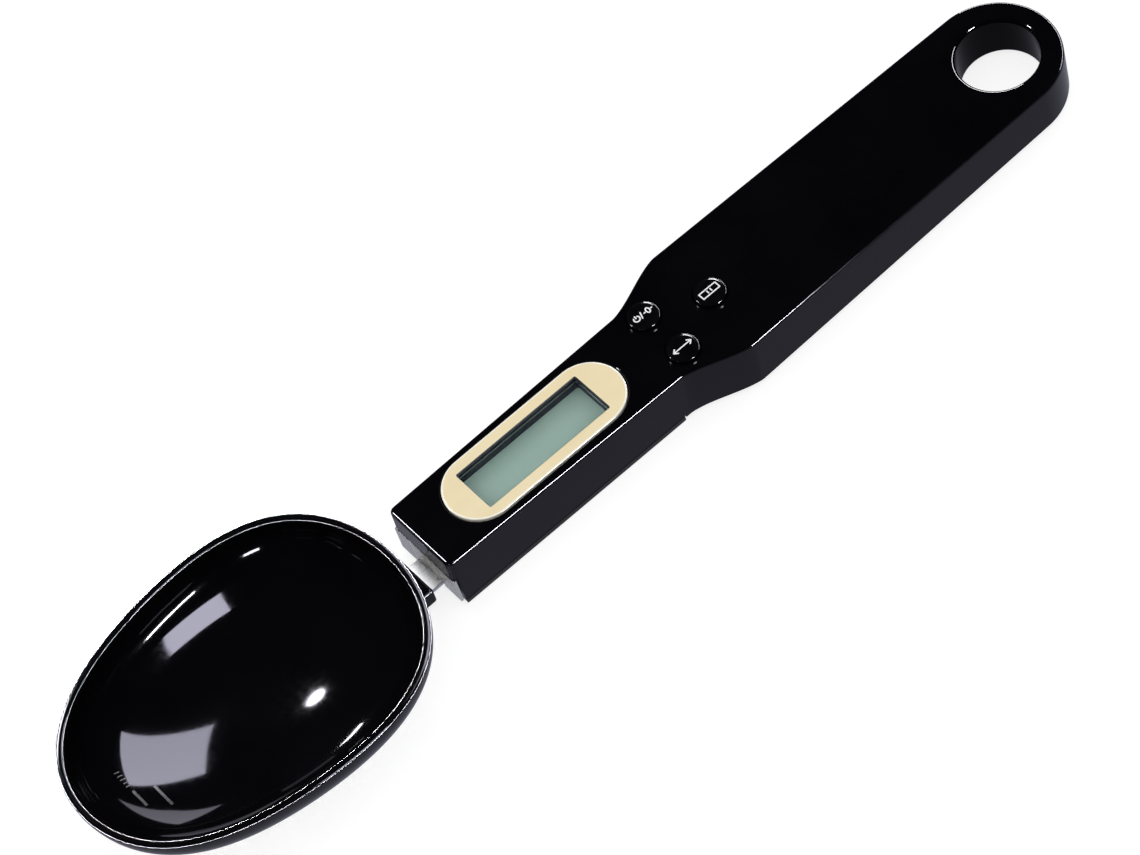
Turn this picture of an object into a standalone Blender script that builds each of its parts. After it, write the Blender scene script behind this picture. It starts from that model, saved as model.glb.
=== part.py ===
"""Digital spoon scale: a weighing spoon on a load cell, with a display, three keys and a coin cell.

The part rests on the underside of its handle at z = 0. +X runs from the spoon to the hanging hole,
+Y is the side of the on/off key, +Z is up. Sizes below are in millimetres and become metres by MM.
"""
import math

import bmesh
import bpy
from mathutils import Matrix, Vector

MM = 0.001

# Handle outline (half widths at the stations along X)
FRONT_X = -38.8
NECK_X = 17.0
SHOULDER_X = 30.9
END_CENTRE_X = 106.1
END_RADIUS = 13.4
HALF_FRONT = 8.95
HALF_NECK = 9.8
HALF_SHOULDER = 14.5

# Handle thickness: a flat underside and a top face ("deck") that falls slightly to the far end
DECK_Z = 14.6
DECK_SLOPE = 0.022
EDGE_RADIUS = 1.0
WALL = 1.4
ROOF = 1.5
GAP = 0.3

# Seam between the casings
PLATE = 1.4
SKIRT_NARROW_Z = PLATE + GAP
SKIRT_WIDE_Z = 0.7
STEP_X = 15.5

# Hanging hole
HOLE_X = 107.0
HOLE_RADIUS = 8.2
HOLE_LIP = 1.2
HOLE_LOWER_LIP = 1.0
COLLAR = 1.5

# Display
BEZEL_X = (-24.2, 2.2)
BEZEL_RADIUS = 7.5
BEZEL_THICK = 0.85
BEZEL_PROUD = 0.25
WINDOW_X = (-26.0, 3.4)
WINDOW_HALF = 5.0
LCD_DEPTH = 2.9
LCD_THICK = 1.5
BOARD_TOP = -4.7
BOARD_THICK = 0.8

# Keys: name, x, y
KEYS = (("on_off", 21.2, 5.7), ("mode", 21.4, -5.3), ("hold", 33.2, 0.3))
KEY_RADIUS = 3.2
KEY_HOLE = 3.5
KEY_DOME = 0.55
KEY_FLANGE = 0.4
DISH_RADIUS = 3.9
DISH_DEPTH = 0.35
PLUNGER_RADIUS = 1.1
SWITCH_HALF = 2.4

# Spoon bowl: egg-shaped rim, widest towards the handle
BOWL_X = -82.35
BOWL_LENGTH = 37.15
BOWL_WIDTH = 27.7
EGG = (0.118, 0.195)
RIM_Z = 17.2
RIM_FLAT = 1.5
BOWL_BOTTOM = 1.2
BOWL_WALL = 1.6
BOWL_POWER = 2.25

# Arm and load cell
ARM_HALF = 3.6
ARM_Z = (2.2, 3.2)
ARM_X = (-57.0, -22.5)
CELL_X = (-37.0, 9.0)
CELL_Z = (3.5, 8.0)
CELL_HALF = 6.0
FLEX_X = (-18.5, -10.5)
LUG_X = (-62.0, -42.6)
LUG_HALF = 4.8
LUG_Z = (1.3, 5.0)
SHIELD_X = (-39.85, -39.3)
SHIELD_HALF = 8.75
SHIELD_Z = (1.85, 9.0)
PAD_HALF = 4.0
PAD_Z = (3.9, 7.6)

# Front of the upper casing: a brow above the mouth that the shield covers
BROW_Z = SHIELD_Z[1] + GAP
BROW_THICK = 1.6
MOUTH_HALF = 7.4
MOUTH_Z = BROW_Z - 0.4
REBATE_X = SHIELD_X[1] + GAP + 0.05
SPOON_SCREW_X = (-53.5, -48.0)
ARM_SCREW_X = (-33.5, -26.5)
CELL_SCREW_X = (0.0, 6.0)

# Coin cell and its cap
BATTERY_X = 62.0
COIN_RADIUS = 10.0
COIN_Z = (3.8, 7.0)
CAP_RADIUS = 11.2
CAP_NECK = 9.9
CAP_LUGS = 3
CAP_TURN = 45.0
BAY_OUTER = 12.3
BAY_TOP = 6.8

# Screws
POST_RADIUS = 2.1
PILOT_RADIUS = 1.2
HEAD_LOW = 0.3

# Casing screws: x, y
CASE_SCREWS = ((13.6, 6.2), (13.6, -6.2), (90.5, 7.5), (90.5, -7.5))

parts = None
cutters = None
deck = None


# ---------------------------------------------------------------- scene and helpers

def new_collection(name):
    collection = bpy.data.collections.new(name)
    bpy.context.scene.collection.children.link(collection)
    return collection


def material(name, colour, roughness=0.4, metallic=0.0, transmission=0.0):
    made = bpy.data.materials.new(name)
    made.use_nodes = True
    shader = made.node_tree.nodes["Principled BSDF"]
    shader.inputs["Base Color"].default_value = (*colour, 1.0)
    shader.inputs["Roughness"].default_value = roughness
    shader.inputs["Metallic"].default_value = metallic
    shader.inputs["Transmission Weight"].default_value = transmission
    return made


def add_object(name, mesh, collection):
    made = bpy.data.objects.new(name, mesh)
    collection.objects.link(made)
    return made


def on_deck(made):
    """Hang an object on the empty that carries the slope of the handle's top face."""
    made.parent = deck
    return made


def deck_z(x):
    return DECK_Z - DECK_SLOPE * (x - FRONT_X)


def box(name, low, high, collection=None):
    """A box between two corners in millimetres."""
    mesh = bpy.data.meshes.new(name)
    body = bmesh.new()
    bmesh.ops.create_cube(body, size=1.0)
    centre = [(a + b) / 2 * MM for a, b in zip(low, high)]
    size = [(b - a) * MM for a, b in zip(low, high)]
    bmesh.ops.scale(body, vec=size, verts=body.verts)
    bmesh.ops.translate(body, vec=centre, verts=body.verts)
    body.to_mesh(mesh)
    body.free()
    return add_object(name, mesh, collection or parts)


def cylinder(name, radius, low, high, centre=(0.0, 0.0), sides=40, axis="Z", collection=None):
    """A cylinder from low to high along an axis; centre holds the two other coordinates."""
    mesh = bpy.data.meshes.new(name)
    body = bmesh.new()
    bmesh.ops.create_cone(body, cap_ends=True, segments=sides, radius1=radius * MM,
                          radius2=radius * MM, depth=(high - low) * MM)
    if axis == "Z":
        offset = (centre[0], centre[1], (low + high) / 2)
    else:
        bmesh.ops.rotate(body, matrix=Matrix.Rotation(math.pi / 2, 3, "X"), verts=body.verts)
        offset = (centre[0], (low + high) / 2, centre[1])
    bmesh.ops.translate(body, vec=[value * MM for value in offset], verts=body.verts)
    body.to_mesh(mesh)
    body.free()
    smooth(mesh)
    return add_object(name, mesh, collection or parts)


def turned(name, profile, centre=(0.0, 0.0, 0.0), sides=40, collection=None):
    """A solid of revolution about Z from (radius, z) points, top to bottom on the outer side."""
    mesh = bpy.data.meshes.new(name)
    points = [(radius * MM, 0.0, z * MM) for radius, z in profile]
    mesh.from_pydata(points, [(i, i + 1) for i in range(len(points) - 1)], [])
    made = add_object(name, mesh, collection or parts)
    screw = made.modifiers.new("Turn", "SCREW")
    screw.steps = sides
    screw.render_steps = sides
    screw.use_merge_vertices = True
    screw.merge_threshold = 0.00001
    apply_modifiers(made)
    made.location = [value * MM for value in centre]
    return made


def flat_solid(name, outline, low, high, bevel=0.0, collection=None):
    """A flat outline given a thickness from low to high, with round edges of radius bevel."""
    curve = bpy.data.curves.new(name, "CURVE")
    curve.dimensions = "2D"
    curve.fill_mode = "BOTH"
    curve.extrude = ((high - low) / 2 - bevel) * MM
    curve.bevel_depth = bevel * MM
    curve.bevel_resolution = 1
    spline = curve.splines.new("POLY")
    spline.points.add(len(outline) - 1)
    for point, (x, y) in zip(spline.points, outline):
        point.co = (x * MM, y * MM, 0.0, 1.0)
    spline.use_cyclic_u = True
    made = add_object(name, curve, collection or parts)
    made.location.z = (low + high) / 2 * MM
    return mesh_of_curve(made)


def wire(name, points, radius):
    """A thin round wire through points in millimetres, smoothed by a Catmull-Rom rule."""
    curve = bpy.data.curves.new(name, "CURVE")
    curve.dimensions = "3D"
    curve.bevel_depth = radius * MM
    curve.bevel_resolution = 1
    curve.use_fill_caps = True
    path = rounded_path(points)
    spline = curve.splines.new("POLY")
    spline.points.add(len(path) - 1)
    for point, place in zip(spline.points, path):
        point.co = (*(place * MM), 1.0)
    return mesh_of_curve(add_object(name, curve, parts))


def rounded_path(points, steps=3):
    places = [Vector(point) for point in points]
    padded = [2 * places[0] - places[1], *places, 2 * places[-1] - places[-2]]
    path = []
    for a, b, c, d in zip(padded, padded[1:], padded[2:], padded[3:]):
        for step in range(steps):
            t = step / steps
            path.append(0.5 * (2 * b + (c - a) * t + (2 * a - 5 * b + 4 * c - d) * t ** 2
                               + (3 * b - a - 3 * c + d) * t ** 3))
    path.append(places[-1])
    return path


def mesh_of_curve(source):
    """Replace a curve object by a welded mesh object of the same name and place."""
    bpy.context.view_layer.update()
    evaluated = source.evaluated_get(bpy.context.evaluated_depsgraph_get())
    mesh = bpy.data.meshes.new_from_object(evaluated)
    body = bmesh.new()
    body.from_mesh(mesh)
    bmesh.ops.remove_doubles(body, verts=body.verts, dist=0.000005)
    bmesh.ops.recalc_face_normals(body, faces=body.faces)
    body.to_mesh(mesh)
    body.free()
    name = source.name
    collection = source.users_collection[0]
    place = source.matrix_world.copy()
    bpy.data.objects.remove(source)
    made = add_object(name, mesh, collection)
    made.matrix_world = place
    smooth(mesh)
    return made


def smooth(mesh, angle=35.0):
    mesh.shade_smooth()
    mesh.set_sharp_from_angle(angle=math.radians(angle))


def apply_modifiers(made):
    """Bake an object's modifiers into its mesh."""
    bpy.context.view_layer.update()
    evaluated = made.evaluated_get(bpy.context.evaluated_depsgraph_get())
    mesh = bpy.data.meshes.new_from_object(evaluated)
    made.modifiers.clear()
    made.data = mesh
    smooth(mesh)


def combine(made, others, operation):
    """Cut, join or intersect an object with others and drop the others."""
    bpy.context.view_layer.update()
    for other in others:
        change = made.modifiers.new("Combine", "BOOLEAN")
        change.operation = operation
        change.object = other
        change.solver = "EXACT"
    apply_modifiers(made)
    for other in others:
        bpy.data.objects.remove(other)


def cut(made, *others):
    combine(made, others, "DIFFERENCE")


def join(made, *others):
    combine(made, others, "UNION")


def soften(made, width, segments=2, angle=40.0):
    bevel = made.modifiers.new("Edges", "BEVEL")
    bevel.width = width * MM
    bevel.segments = segments
    bevel.limit_method = "ANGLE"
    bevel.angle_limit = math.radians(angle)


def paint(finish, *objects):
    for made in objects:
        made.data.materials.clear()
        made.data.materials.append(finish)


# ---------------------------------------------------------------- shared outlines

def half_width(x):
    """Half the handle's width at x: narrow front, eased flare, then a slightly tapered grip."""
    if x <= NECK_X:
        share = (x - FRONT_X) / (NECK_X - FRONT_X)
        return HALF_FRONT + share * (HALF_NECK - HALF_FRONT)
    if x >= SHOULDER_X:
        share = (x - SHOULDER_X) / (END_CENTRE_X - SHOULDER_X)
        return HALF_SHOULDER + share * (END_RADIUS - HALF_SHOULDER)
    share = (x - NECK_X) / (SHOULDER_X - NECK_X)
    eased = 0.5 * share + 0.5 * share * share * (3 - 2 * share)
    return HALF_NECK + eased * (HALF_SHOULDER - HALF_NECK)


def handle_outline(inset, front=FRONT_X, end_sides=20, flare_steps=7):
    """The handle's plan outline, moved inwards by inset, from the front round the far end."""
    stations = [front, NECK_X - 3.0]
    reach = SHOULDER_X - NECK_X + 6.0
    stations += [NECK_X - 3.0 + reach * step / flare_steps for step in range(1, flare_steps + 1)]
    side = [(x, half_width(x) - inset) for x in stations]
    radius = END_RADIUS - inset
    for step in range(end_sides + 1):
        angle = math.pi / 2 - math.pi * step / end_sides
        side.append((END_CENTRE_X + radius * math.cos(angle), radius * math.sin(angle)))
    back = [(x, -y) for x, y in reversed(side[:len(stations)])]
    return side + back


def stadium(x_low, x_high, radius, sides=16):
    """An outline with straight sides and round ends, their centres at x_low and x_high."""
    outline = []
    for step in range(sides + 1):
        angle = math.pi / 2 - math.pi * step / sides
        outline.append((x_high + radius * math.cos(angle), radius * math.sin(angle)))
    for step in range(sides + 1):
        angle = -math.pi / 2 - math.pi * step / sides
        outline.append((x_low + radius * math.cos(angle), radius * math.sin(angle)))
    return outline


def rounded_rectangle(x_low, x_high, half, radius, sides=4):
    """A rectangle about the X axis with round corners."""
    outline = []
    corners = ((x_high, half, 0), (x_low, half, 1), (x_low, -half, 2), (x_high, -half, 3))
    for x, y, quarter in corners:
        cx = x - math.copysign(radius, x - (x_low + x_high) / 2)
        cy = y - math.copysign(radius, y)
        for step in range(sides + 1):
            angle = math.pi / 2 * (quarter + step / sides)
            outline.append((cx + radius * math.cos(angle), cy + radius * math.sin(angle)))
    return outline


# ---------------------------------------------------------------- casings

def build_top_casing(black):
    """The deep upper shell with its display pocket, key holes, posts and hanging-hole collar."""
    deep = 30.0
    shell = on_deck(flat_solid("top_casing", handle_outline(EDGE_RADIUS), -deep, 0.0,
                               bevel=EDGE_RADIUS))
    cavity = on_deck(flat_solid("cavity", handle_outline(WALL, front=FRONT_X - EDGE_RADIUS + BROW_THICK),
                                -deep - 1.0, -ROOF, collection=cutters))
    collar = cylinder("collar", HOLE_RADIUS + COLLAR, -2.0, 30.0, centre=(HOLE_X, 0.0),
                      sides=40, collection=cutters)
    cut(cavity, collar)
    cut(shell, cavity)
    rebate = box("rebate", (FRONT_X - 9.0, -40.0, -40.0), (REBATE_X, 40.0, BROW_Z), cutters)
    mouth = box("mouth", (REBATE_X - 0.1, -MOUTH_HALF, -40.0), (FRONT_X + 3.0, MOUTH_HALF, MOUTH_Z),
                cutters)
    cut(shell, rebate)
    cut(shell, mouth)
    floor = box("floor_wide", (-150, -40, -40), (150, 40, SKIRT_WIDE_Z), cutters)
    step = box("floor_narrow", (-150, -40, -40), (STEP_X, 40, SKIRT_NARROW_Z), cutters)
    cut(shell, floor, step)
    cut(shell, hanging_hole_cutter())
    cut_display(shell)
    for name, x, y in KEYS:
        dish = ((0.0, 1.0), (DISH_RADIUS + 1.5, 1.0), (DISH_RADIUS, -DISH_DEPTH),
                (KEY_HOLE, -DISH_DEPTH), (KEY_HOLE, -3.0), (0.0, -3.0))
        cut(shell, on_deck(turned(name + "_hole", dish, centre=(x, y, 0.0), sides=32,
                                  collection=cutters)))
    for x, y in CASE_SCREWS:
        post = cylinder("post", POST_RADIUS, PLATE + GAP, deck_z(x) - ROOF + 0.4, centre=(x, y),
                        sides=20, collection=cutters)
        join(shell, post)
        pilot = cylinder("pilot", PILOT_RADIUS, -1.0, 9.5, centre=(x, y), sides=16,
                         collection=cutters)
        cut(shell, pilot)
    shell.name = "top_casing"
    paint(black, shell)


def cut_display(shell):
    """The stadium pocket for the bezel and the opening below it."""
    pocket = on_deck(flat_solid("pocket", stadium(*BEZEL_X, BEZEL_RADIUS + 0.25), -0.9, 3.0,
                                collection=cutters))
    opening = on_deck(flat_solid("opening", rounded_rectangle(WINDOW_X[0] - 0.3,
                                                              WINDOW_X[1] + 0.3,
                                                              WINDOW_HALF + 0.3, 0.5),
                                 -ROOF - 1.0, 0.5, collection=cutters))
    cut(shell, pocket, opening)


def hanging_hole_cutter():
    """A bore that flares over a quarter-round lip at its upper and its lower mouth."""
    upper = deck_z(HOLE_X)
    lower = SKIRT_WIDE_Z - 0.02
    profile = [(0.0, upper + 5.0), (HOLE_RADIUS + HOLE_LIP + 0.4, upper + 5.0),
               (HOLE_RADIUS + HOLE_LIP + 0.4, upper + 0.2)]
    profile += [(radius, upper - drop) for radius, drop in lip_arc(HOLE_LIP)]
    profile += [(radius, lower + drop) for radius, drop in reversed(lip_arc(HOLE_LOWER_LIP))]
    profile += [(HOLE_RADIUS + HOLE_LOWER_LIP, lower - 5.0), (0.0, lower - 5.0)]
    return turned("bore", profile, centre=(HOLE_X, 0.0, 0.0), sides=40, collection=cutters)


def lip_arc(lip, steps=5):
    """Radius and distance from the mouth along a quarter-round lip, from the mouth inwards."""
    arc = []
    for step in range(steps + 1):
        angle = math.pi / 2 * step / steps
        arc.append((HOLE_RADIUS + lip * (1 - math.sin(angle)), lip * (1 - math.cos(angle))))
    return arc


def build_bottom_casing(black):
    """The thin lower cover: flush under the narrow front, set inside the skirt of the grip."""
    inside = WALL + GAP
    plate = flat_solid("bottom_casing", handle_outline(inside, front=STEP_X - 4.0), 0.0, PLATE)
    back_x = STEP_X - GAP
    front_half = half_width(FRONT_X) - 0.05
    back_half = half_width(STEP_X) - 0.05
    tongue_outline = [(FRONT_X, front_half), (back_x, back_half), (back_x, -back_half),
                      (FRONT_X, -front_half)]
    tongue = flat_solid("tongue", tongue_outline, 0.0, PLATE, collection=cutters)
    bay = cylinder("bay", BAY_OUTER, 0.0, BAY_TOP, centre=(BATTERY_X, 0.0), sides=40,
                   collection=cutters)
    saddle = box("saddle", (-4.0, -5.0, 0.7), (9.0, 5.0, CELL_Z[0] - GAP), cutters)
    join(plate, tongue, bay, saddle)
    cut_battery_bay(plate)
    cut(plate, cylinder("collar_room", HOLE_RADIUS + COLLAR + GAP, -1.0, 5.0,
                        centre=(HOLE_X, 0.0), sides=40, collection=cutters))
    for x, y in CASE_SCREWS:
        cut(plate, screw_seat("seat", x, y, head_z=0.25))
    for x in CELL_SCREW_X:
        cut(plate, screw_seat("seat", x, 0.0, head_z=0.25))
    relief = cylinder("front_relief", 9.0, -1.0, 5.0, centre=(FRONT_X - 7.6, 0.0), sides=40,
                      collection=cutters)
    cut(plate, relief)
    plate.name = "bottom_casing"
    paint(black, plate)


def cut_battery_bay(plate):
    """Hollow the bay: a recess for the cap, a ledge, notches for its lugs and three ribs."""
    recess = cylinder("recess", CAP_RADIUS + GAP, -1.0, 1.5, centre=(BATTERY_X, 0.0), sides=40,
                      collection=cutters)
    throat = cylinder("throat", CAP_NECK + 0.6, 1.0, 3.0, centre=(BATTERY_X, 0.0), sides=40,
                      collection=cutters)
    room = cylinder("room", BAY_OUTER - 0.8, 2.4, 9.0, centre=(BATTERY_X, 0.0), sides=40,
                    collection=cutters)
    cut(plate, recess, throat, room)
    for number in range(CAP_LUGS):
        turn = 2 * math.pi * number / CAP_LUGS - math.radians(CAP_TURN)
        notch = box("notch", (CAP_NECK - 1.0, -2.6, 1.2), (CAP_RADIUS + GAP, 2.6, 2.6), cutters)
        notch.rotation_euler.z = turn
        notch.location.x = BATTERY_X * MM
        cut(plate, notch)


def screw_seat(name, x, y, head_z):
    """A countersunk seat and clearance hole for a screw driven from below."""
    profile = ((0.0, 6.0), (1.25, 6.0), (1.25, head_z + 1.0), (2.3, head_z - 0.05),
               (2.3, -1.0), (0.0, -1.0))
    return turned(name, profile, centre=(x, y, 0.0), sides=16, collection=cutters)


def build_screw(name, x, y, low, high, finish, head=2.0, shank=0.9):
    """A countersunk screw with a cross recess, its head facing down."""
    profile = ((0.0, high), (shank * 0.55, high), (shank, high - 0.5), (shank, low + 1.05),
               (head, low + 0.12), (head - 0.1, low), (0.0, low))
    made = turned(name, profile, centre=(x, y, 0.0), sides=14)
    arm = 0.62 * head
    bars = [box("slot", (x - arm, y - 0.22, low - 1.0), (x + arm, y + 0.22, low + 0.45), cutters),
            box("slot", (x - 0.22, y - arm, low - 1.0), (x + 0.22, y + arm, low + 0.45), cutters)]
    cut(made, *bars)
    made.name = name
    paint(finish, made)


# ---------------------------------------------------------------- display and keys

def build_display(cream, clear, lcd, black, rubber):
    bezel = on_deck(flat_solid("display_bezel", stadium(*BEZEL_X, BEZEL_RADIUS - 0.3),
                               BEZEL_PROUD - BEZEL_THICK, BEZEL_PROUD, bevel=0.3))
    opening = on_deck(flat_solid("opening", rounded_rectangle(*WINDOW_X, WINDOW_HALF, 0.4),
                                 -4.0, 4.0, collection=cutters))
    cut(bezel, opening)
    bezel.name = "display_bezel"
    paint(cream, bezel)

    pane = on_deck(flat_solid("display_window", rounded_rectangle(*WINDOW_X, WINDOW_HALF, 0.4),
                              -1.6, -1.2))
    paint(clear, pane)

    rim = 1.4
    frame = on_deck(flat_solid("lcd_frame", rounded_rectangle(WINDOW_X[0] - rim,
                                                              WINDOW_X[1] + rim,
                                                              WINDOW_HALF + rim, 0.6),
                               -LCD_DEPTH + 0.3, -1.9))
    opening = on_deck(flat_solid("opening", rounded_rectangle(*WINDOW_X, WINDOW_HALF, 0.4),
                                 -9.0, 4.0, collection=cutters))
    cut(frame, opening)
    frame.name = "lcd_frame"
    paint(black, frame)

    low = -LCD_DEPTH - LCD_THICK
    glass = on_deck(box("lcd_glass", (WINDOW_X[0] - 1.2, -WINDOW_HALF - 0.9, low),
                        (WINDOW_X[1] + 1.2, WINDOW_HALF + 0.9, -LCD_DEPTH)))
    ledge = on_deck(box("ledge", (WINDOW_X[0] - 2.0, WINDOW_HALF - 0.2, low - 1.0),
                        (WINDOW_X[1] + 2.0, WINDOW_HALF + 2.0, -LCD_DEPTH - 0.7), cutters))
    cut(glass, ledge)
    glass.name = "lcd_glass"
    paint(lcd, glass)

    strip = on_deck(box("contact_strip", (WINDOW_X[0] - 1.0, WINDOW_HALF + 0.1, BOARD_TOP + 0.3),
                        (WINDOW_X[1] + 1.0, WINDOW_HALF + 0.9, -LCD_DEPTH - 1.0)))
    paint(rubber, strip)


def build_board(green, black, steel):
    """The circuit board under the display and keys, with its controller and crystal."""
    top = BOARD_TOP
    low = top - BOARD_THICK
    side = [(-35.5, 6.7), (16.0, 6.7), (20.5, 8.0), (41.0, 9.5)]
    outline = side + [(x, -y) for x, y in reversed(side)]
    board = on_deck(flat_solid("circuit_board", outline, low, top))
    notches = []
    for x, y in CASE_SCREWS[:2]:
        notches.append(cylinder("notch", 2.5, 0.0, 20.0, centre=(x, y), sides=20,
                                collection=cutters))
    cut(board, *notches)
    board.name = "circuit_board"
    paint(green, board)
    chip = on_deck(turned("controller_chip", ((0.0, -3.3), (1.6, -3.45), (2.6, -3.9),
                                              (3.0, top + GAP), (0.0, top + GAP)),
                          centre=(12.6, 0.0, 0.0), sides=28))
    paint(black, chip)
    crystal = on_deck(flat_solid("crystal", rounded_rectangle(37.2, 39.2, 3.0, 0.9),
                                 top + GAP, top + GAP + 1.6))
    paint(steel, crystal)


def build_keys(black, grey, white):
    """Each key: a domed cap with a retaining flange, over a switch body and its plunger."""
    top = BOARD_TOP + GAP
    for name, x, y in KEYS:
        profile = [(0.0, KEY_DOME)]
        for step in range(1, 5):
            share = step / 4
            profile.append((KEY_RADIUS * share, KEY_DOME - 0.75 * share ** 3))
        profile += [(KEY_RADIUS, -1.8), (KEY_RADIUS + KEY_FLANGE, -1.8),
                    (KEY_RADIUS + KEY_FLANGE, -2.3), (0.0, -2.3)]
        cap = on_deck(turned(name + "_button", profile, centre=(x, y, 0.0), sides=32))
        paint(black, cap)
        body = on_deck(box(name + "_switch", (x - SWITCH_HALF, y - SWITCH_HALF, top),
                           (x + SWITCH_HALF, y + SWITCH_HALF, -3.2)))
        well = on_deck(cylinder("well", 1.4, top + 0.2, 0.0, centre=(x, y), sides=16,
                                collection=cutters))
        cut(body, well)
        soften(body, 0.25, segments=1)
        body.name = name + "_switch"
        paint(grey, body)
        stem = on_deck(cylinder(name + "_plunger", PLUNGER_RADIUS, top + 0.9, -2.6, sides=16))
        stem.location = (x * MM, y * MM, 0.0)
        paint(white, stem)


# ---------------------------------------------------------------- weighing gear

def build_load_cell(aluminium, amber, white):
    """A flexure beam: solid ends and a thin-walled middle round a dumbbell-shaped opening."""
    cell = box("load_cell", (CELL_X[0], -CELL_HALF, CELL_Z[0]), (CELL_X[1], CELL_HALF, CELL_Z[1]))
    middle = (CELL_Z[0] + CELL_Z[1]) / 2
    eye = 1.75
    holes = [cylinder("eye", eye, -10.0, 10.0, centre=(x, middle), sides=24, axis="Y",
                      collection=cutters) for x in FLEX_X]
    slot = box("slot", (FLEX_X[0], -10.0, middle - 0.6), (FLEX_X[1], 10.0, middle + 0.6), cutters)
    join(slot, *holes)
    cut(cell, slot)
    for x in (*ARM_SCREW_X, *CELL_SCREW_X):
        cut(cell, cylinder("tap", 1.2, 0.0, CELL_Z[1] - 1.0, centre=(x, 0.0), sides=16,
                           collection=cutters))
    cell.name = "load_cell"
    paint(aluminium, cell)
    gauge_x = (FLEX_X[0] + FLEX_X[1]) / 2
    for name, low in (("strain_gauge_top", CELL_Z[1] + 0.05), ("strain_gauge_bottom",
                                                              CELL_Z[0] - 0.35)):
        gauge = box(name, (gauge_x - 4.5, -3.0, low), (gauge_x + 4.5, 3.0, low + 0.3))
        paint(amber if name.endswith("bottom") else white, gauge)


def build_arm(steel):
    """The flat arm that carries the spoon, and the shield that closes the handle's front.

    A pad on the shield's back meets the end of the load cell.
    """
    arm = box("spoon_arm", (ARM_X[0], -ARM_HALF, ARM_Z[0]), (ARM_X[1], ARM_HALF, ARM_Z[1]))
    for x in (*SPOON_SCREW_X, *ARM_SCREW_X):
        profile = ((0.0, 6.0), (1.2, 6.0), (1.2, ARM_Z[0] + 0.7), (1.9, ARM_Z[0] - 0.05),
                   (1.9, 0.0), (0.0, 0.0))
        if x in SPOON_SCREW_X:
            profile = ((0.0, 6.0), (1.2, 6.0), (1.2, 0.0), (0.0, 0.0))
        cut(arm, turned("hole", profile, centre=(x, 0.0, 0.0), sides=20, collection=cutters))
    arm.name = "spoon_arm"
    paint(steel, arm)
    shield = box("front_shield", (SHIELD_X[0], -SHIELD_HALF, SHIELD_Z[0]),
                 (SHIELD_X[1], SHIELD_HALF, SHIELD_Z[1]))
    pad = box("pad", (SHIELD_X[0] + 0.2, -PAD_HALF, PAD_Z[0]),
              (CELL_X[0] - GAP, PAD_HALF, PAD_Z[1]), cutters)
    join(shield, pad)
    notch = box("notch", (SHIELD_X[0] - 1.0, -ARM_HALF - GAP, 0.0),
                (SHIELD_X[1] + 1.0, ARM_HALF + GAP, ARM_Z[1] + GAP), cutters)
    cut(shield, notch)
    shield.name = "front_shield"
    paint(steel, shield)


def egg_point(angle, scale=1.0, shrink=0.0):
    """A point on the egg-shaped rim, scaled about its centre and drawn in by shrink."""
    c = math.cos(angle)
    s = math.sin(angle)
    x = (BOWL_LENGTH - shrink) * c
    y = (BOWL_WIDTH - shrink) * s * (1 + EGG[0] * c + EGG[1] * c * c)
    return BOWL_X + x * scale, y * scale


def bowl_solid(name, shrink, depth, top, collection, sides=40, rings=11):
    """A closed egg-plan bowl body below z = top: a sphere's lower half drawn to the egg shape."""
    mesh = bpy.data.meshes.new(name)
    body = bmesh.new()
    bmesh.ops.create_uvsphere(body, u_segments=sides, v_segments=rings * 2, radius=1.0)
    for vert in body.verts:
        reach = math.hypot(vert.co.x, vert.co.y)
        angle = math.atan2(vert.co.y, vert.co.x)
        if vert.co.z > 0.0:
            scale = reach
            height = top
        else:
            height, scale = bowl_profile(reach, vert.co.z, depth)
        x, y = egg_point(angle, scale, shrink)
        vert.co = Vector((x, y, height)) * MM
    flat = [face for face in body.faces if all(v.co.z > (top - 0.01) * MM for v in face.verts)]
    bmesh.ops.dissolve_faces(body, faces=flat)
    bmesh.ops.dissolve_limit(body, angle_limit=0.0001, verts=body.verts, edges=body.edges)
    bmesh.ops.recalc_face_normals(body, faces=body.faces)
    body.to_mesh(mesh)
    body.free()
    smooth(mesh)
    return add_object(name, mesh, collection)


def bowl_profile(reach, height, depth):
    """Height and plan scale of a bowl ring, on a superellipse that is flatter at the bottom."""
    angle = math.atan2(-height, reach)
    scale = max(math.cos(angle), 0.0) ** (2 / BOWL_POWER)
    sink = max(math.sin(angle), 0.0) ** (2 / BOWL_POWER)
    return RIM_Z - depth * sink, scale


def build_spoon(black):
    """The bowl with its flat rim and, under the handle end, the lug that takes the arm."""
    outer_depth = RIM_Z - BOWL_BOTTOM
    spoon = bowl_solid("spoon", 0.0, outer_depth, RIM_Z, parts)
    lug = box("lug", (LUG_X[0], -LUG_HALF, LUG_Z[0]), (LUG_X[1], LUG_HALF, LUG_Z[1]), cutters)
    join(spoon, lug)
    inner = bowl_solid("inner", RIM_FLAT, outer_depth - BOWL_WALL, RIM_Z, cutters)
    cut(spoon, inner)
    slot = box("slot", (ARM_X[0] - 0.5, -ARM_HALF - GAP, ARM_Z[0] - GAP),
               (LUG_X[1] + 5.0, ARM_HALF + GAP, ARM_Z[1] + GAP), cutters)
    cut(spoon, slot)
    for x in SPOON_SCREW_X:
        profile = ((0.0, 4.6), (1.2, 4.6), (1.2, 1.9), (1.8, 1.5), (2.0, 0.0), (0.0, 0.0))
        cut(spoon, turned("seat", profile, centre=(x, 0.0, 0.0), sides=20, collection=cutters))
    spoon.name = "spoon"
    paint(black, spoon)


# ---------------------------------------------------------------- battery

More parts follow.
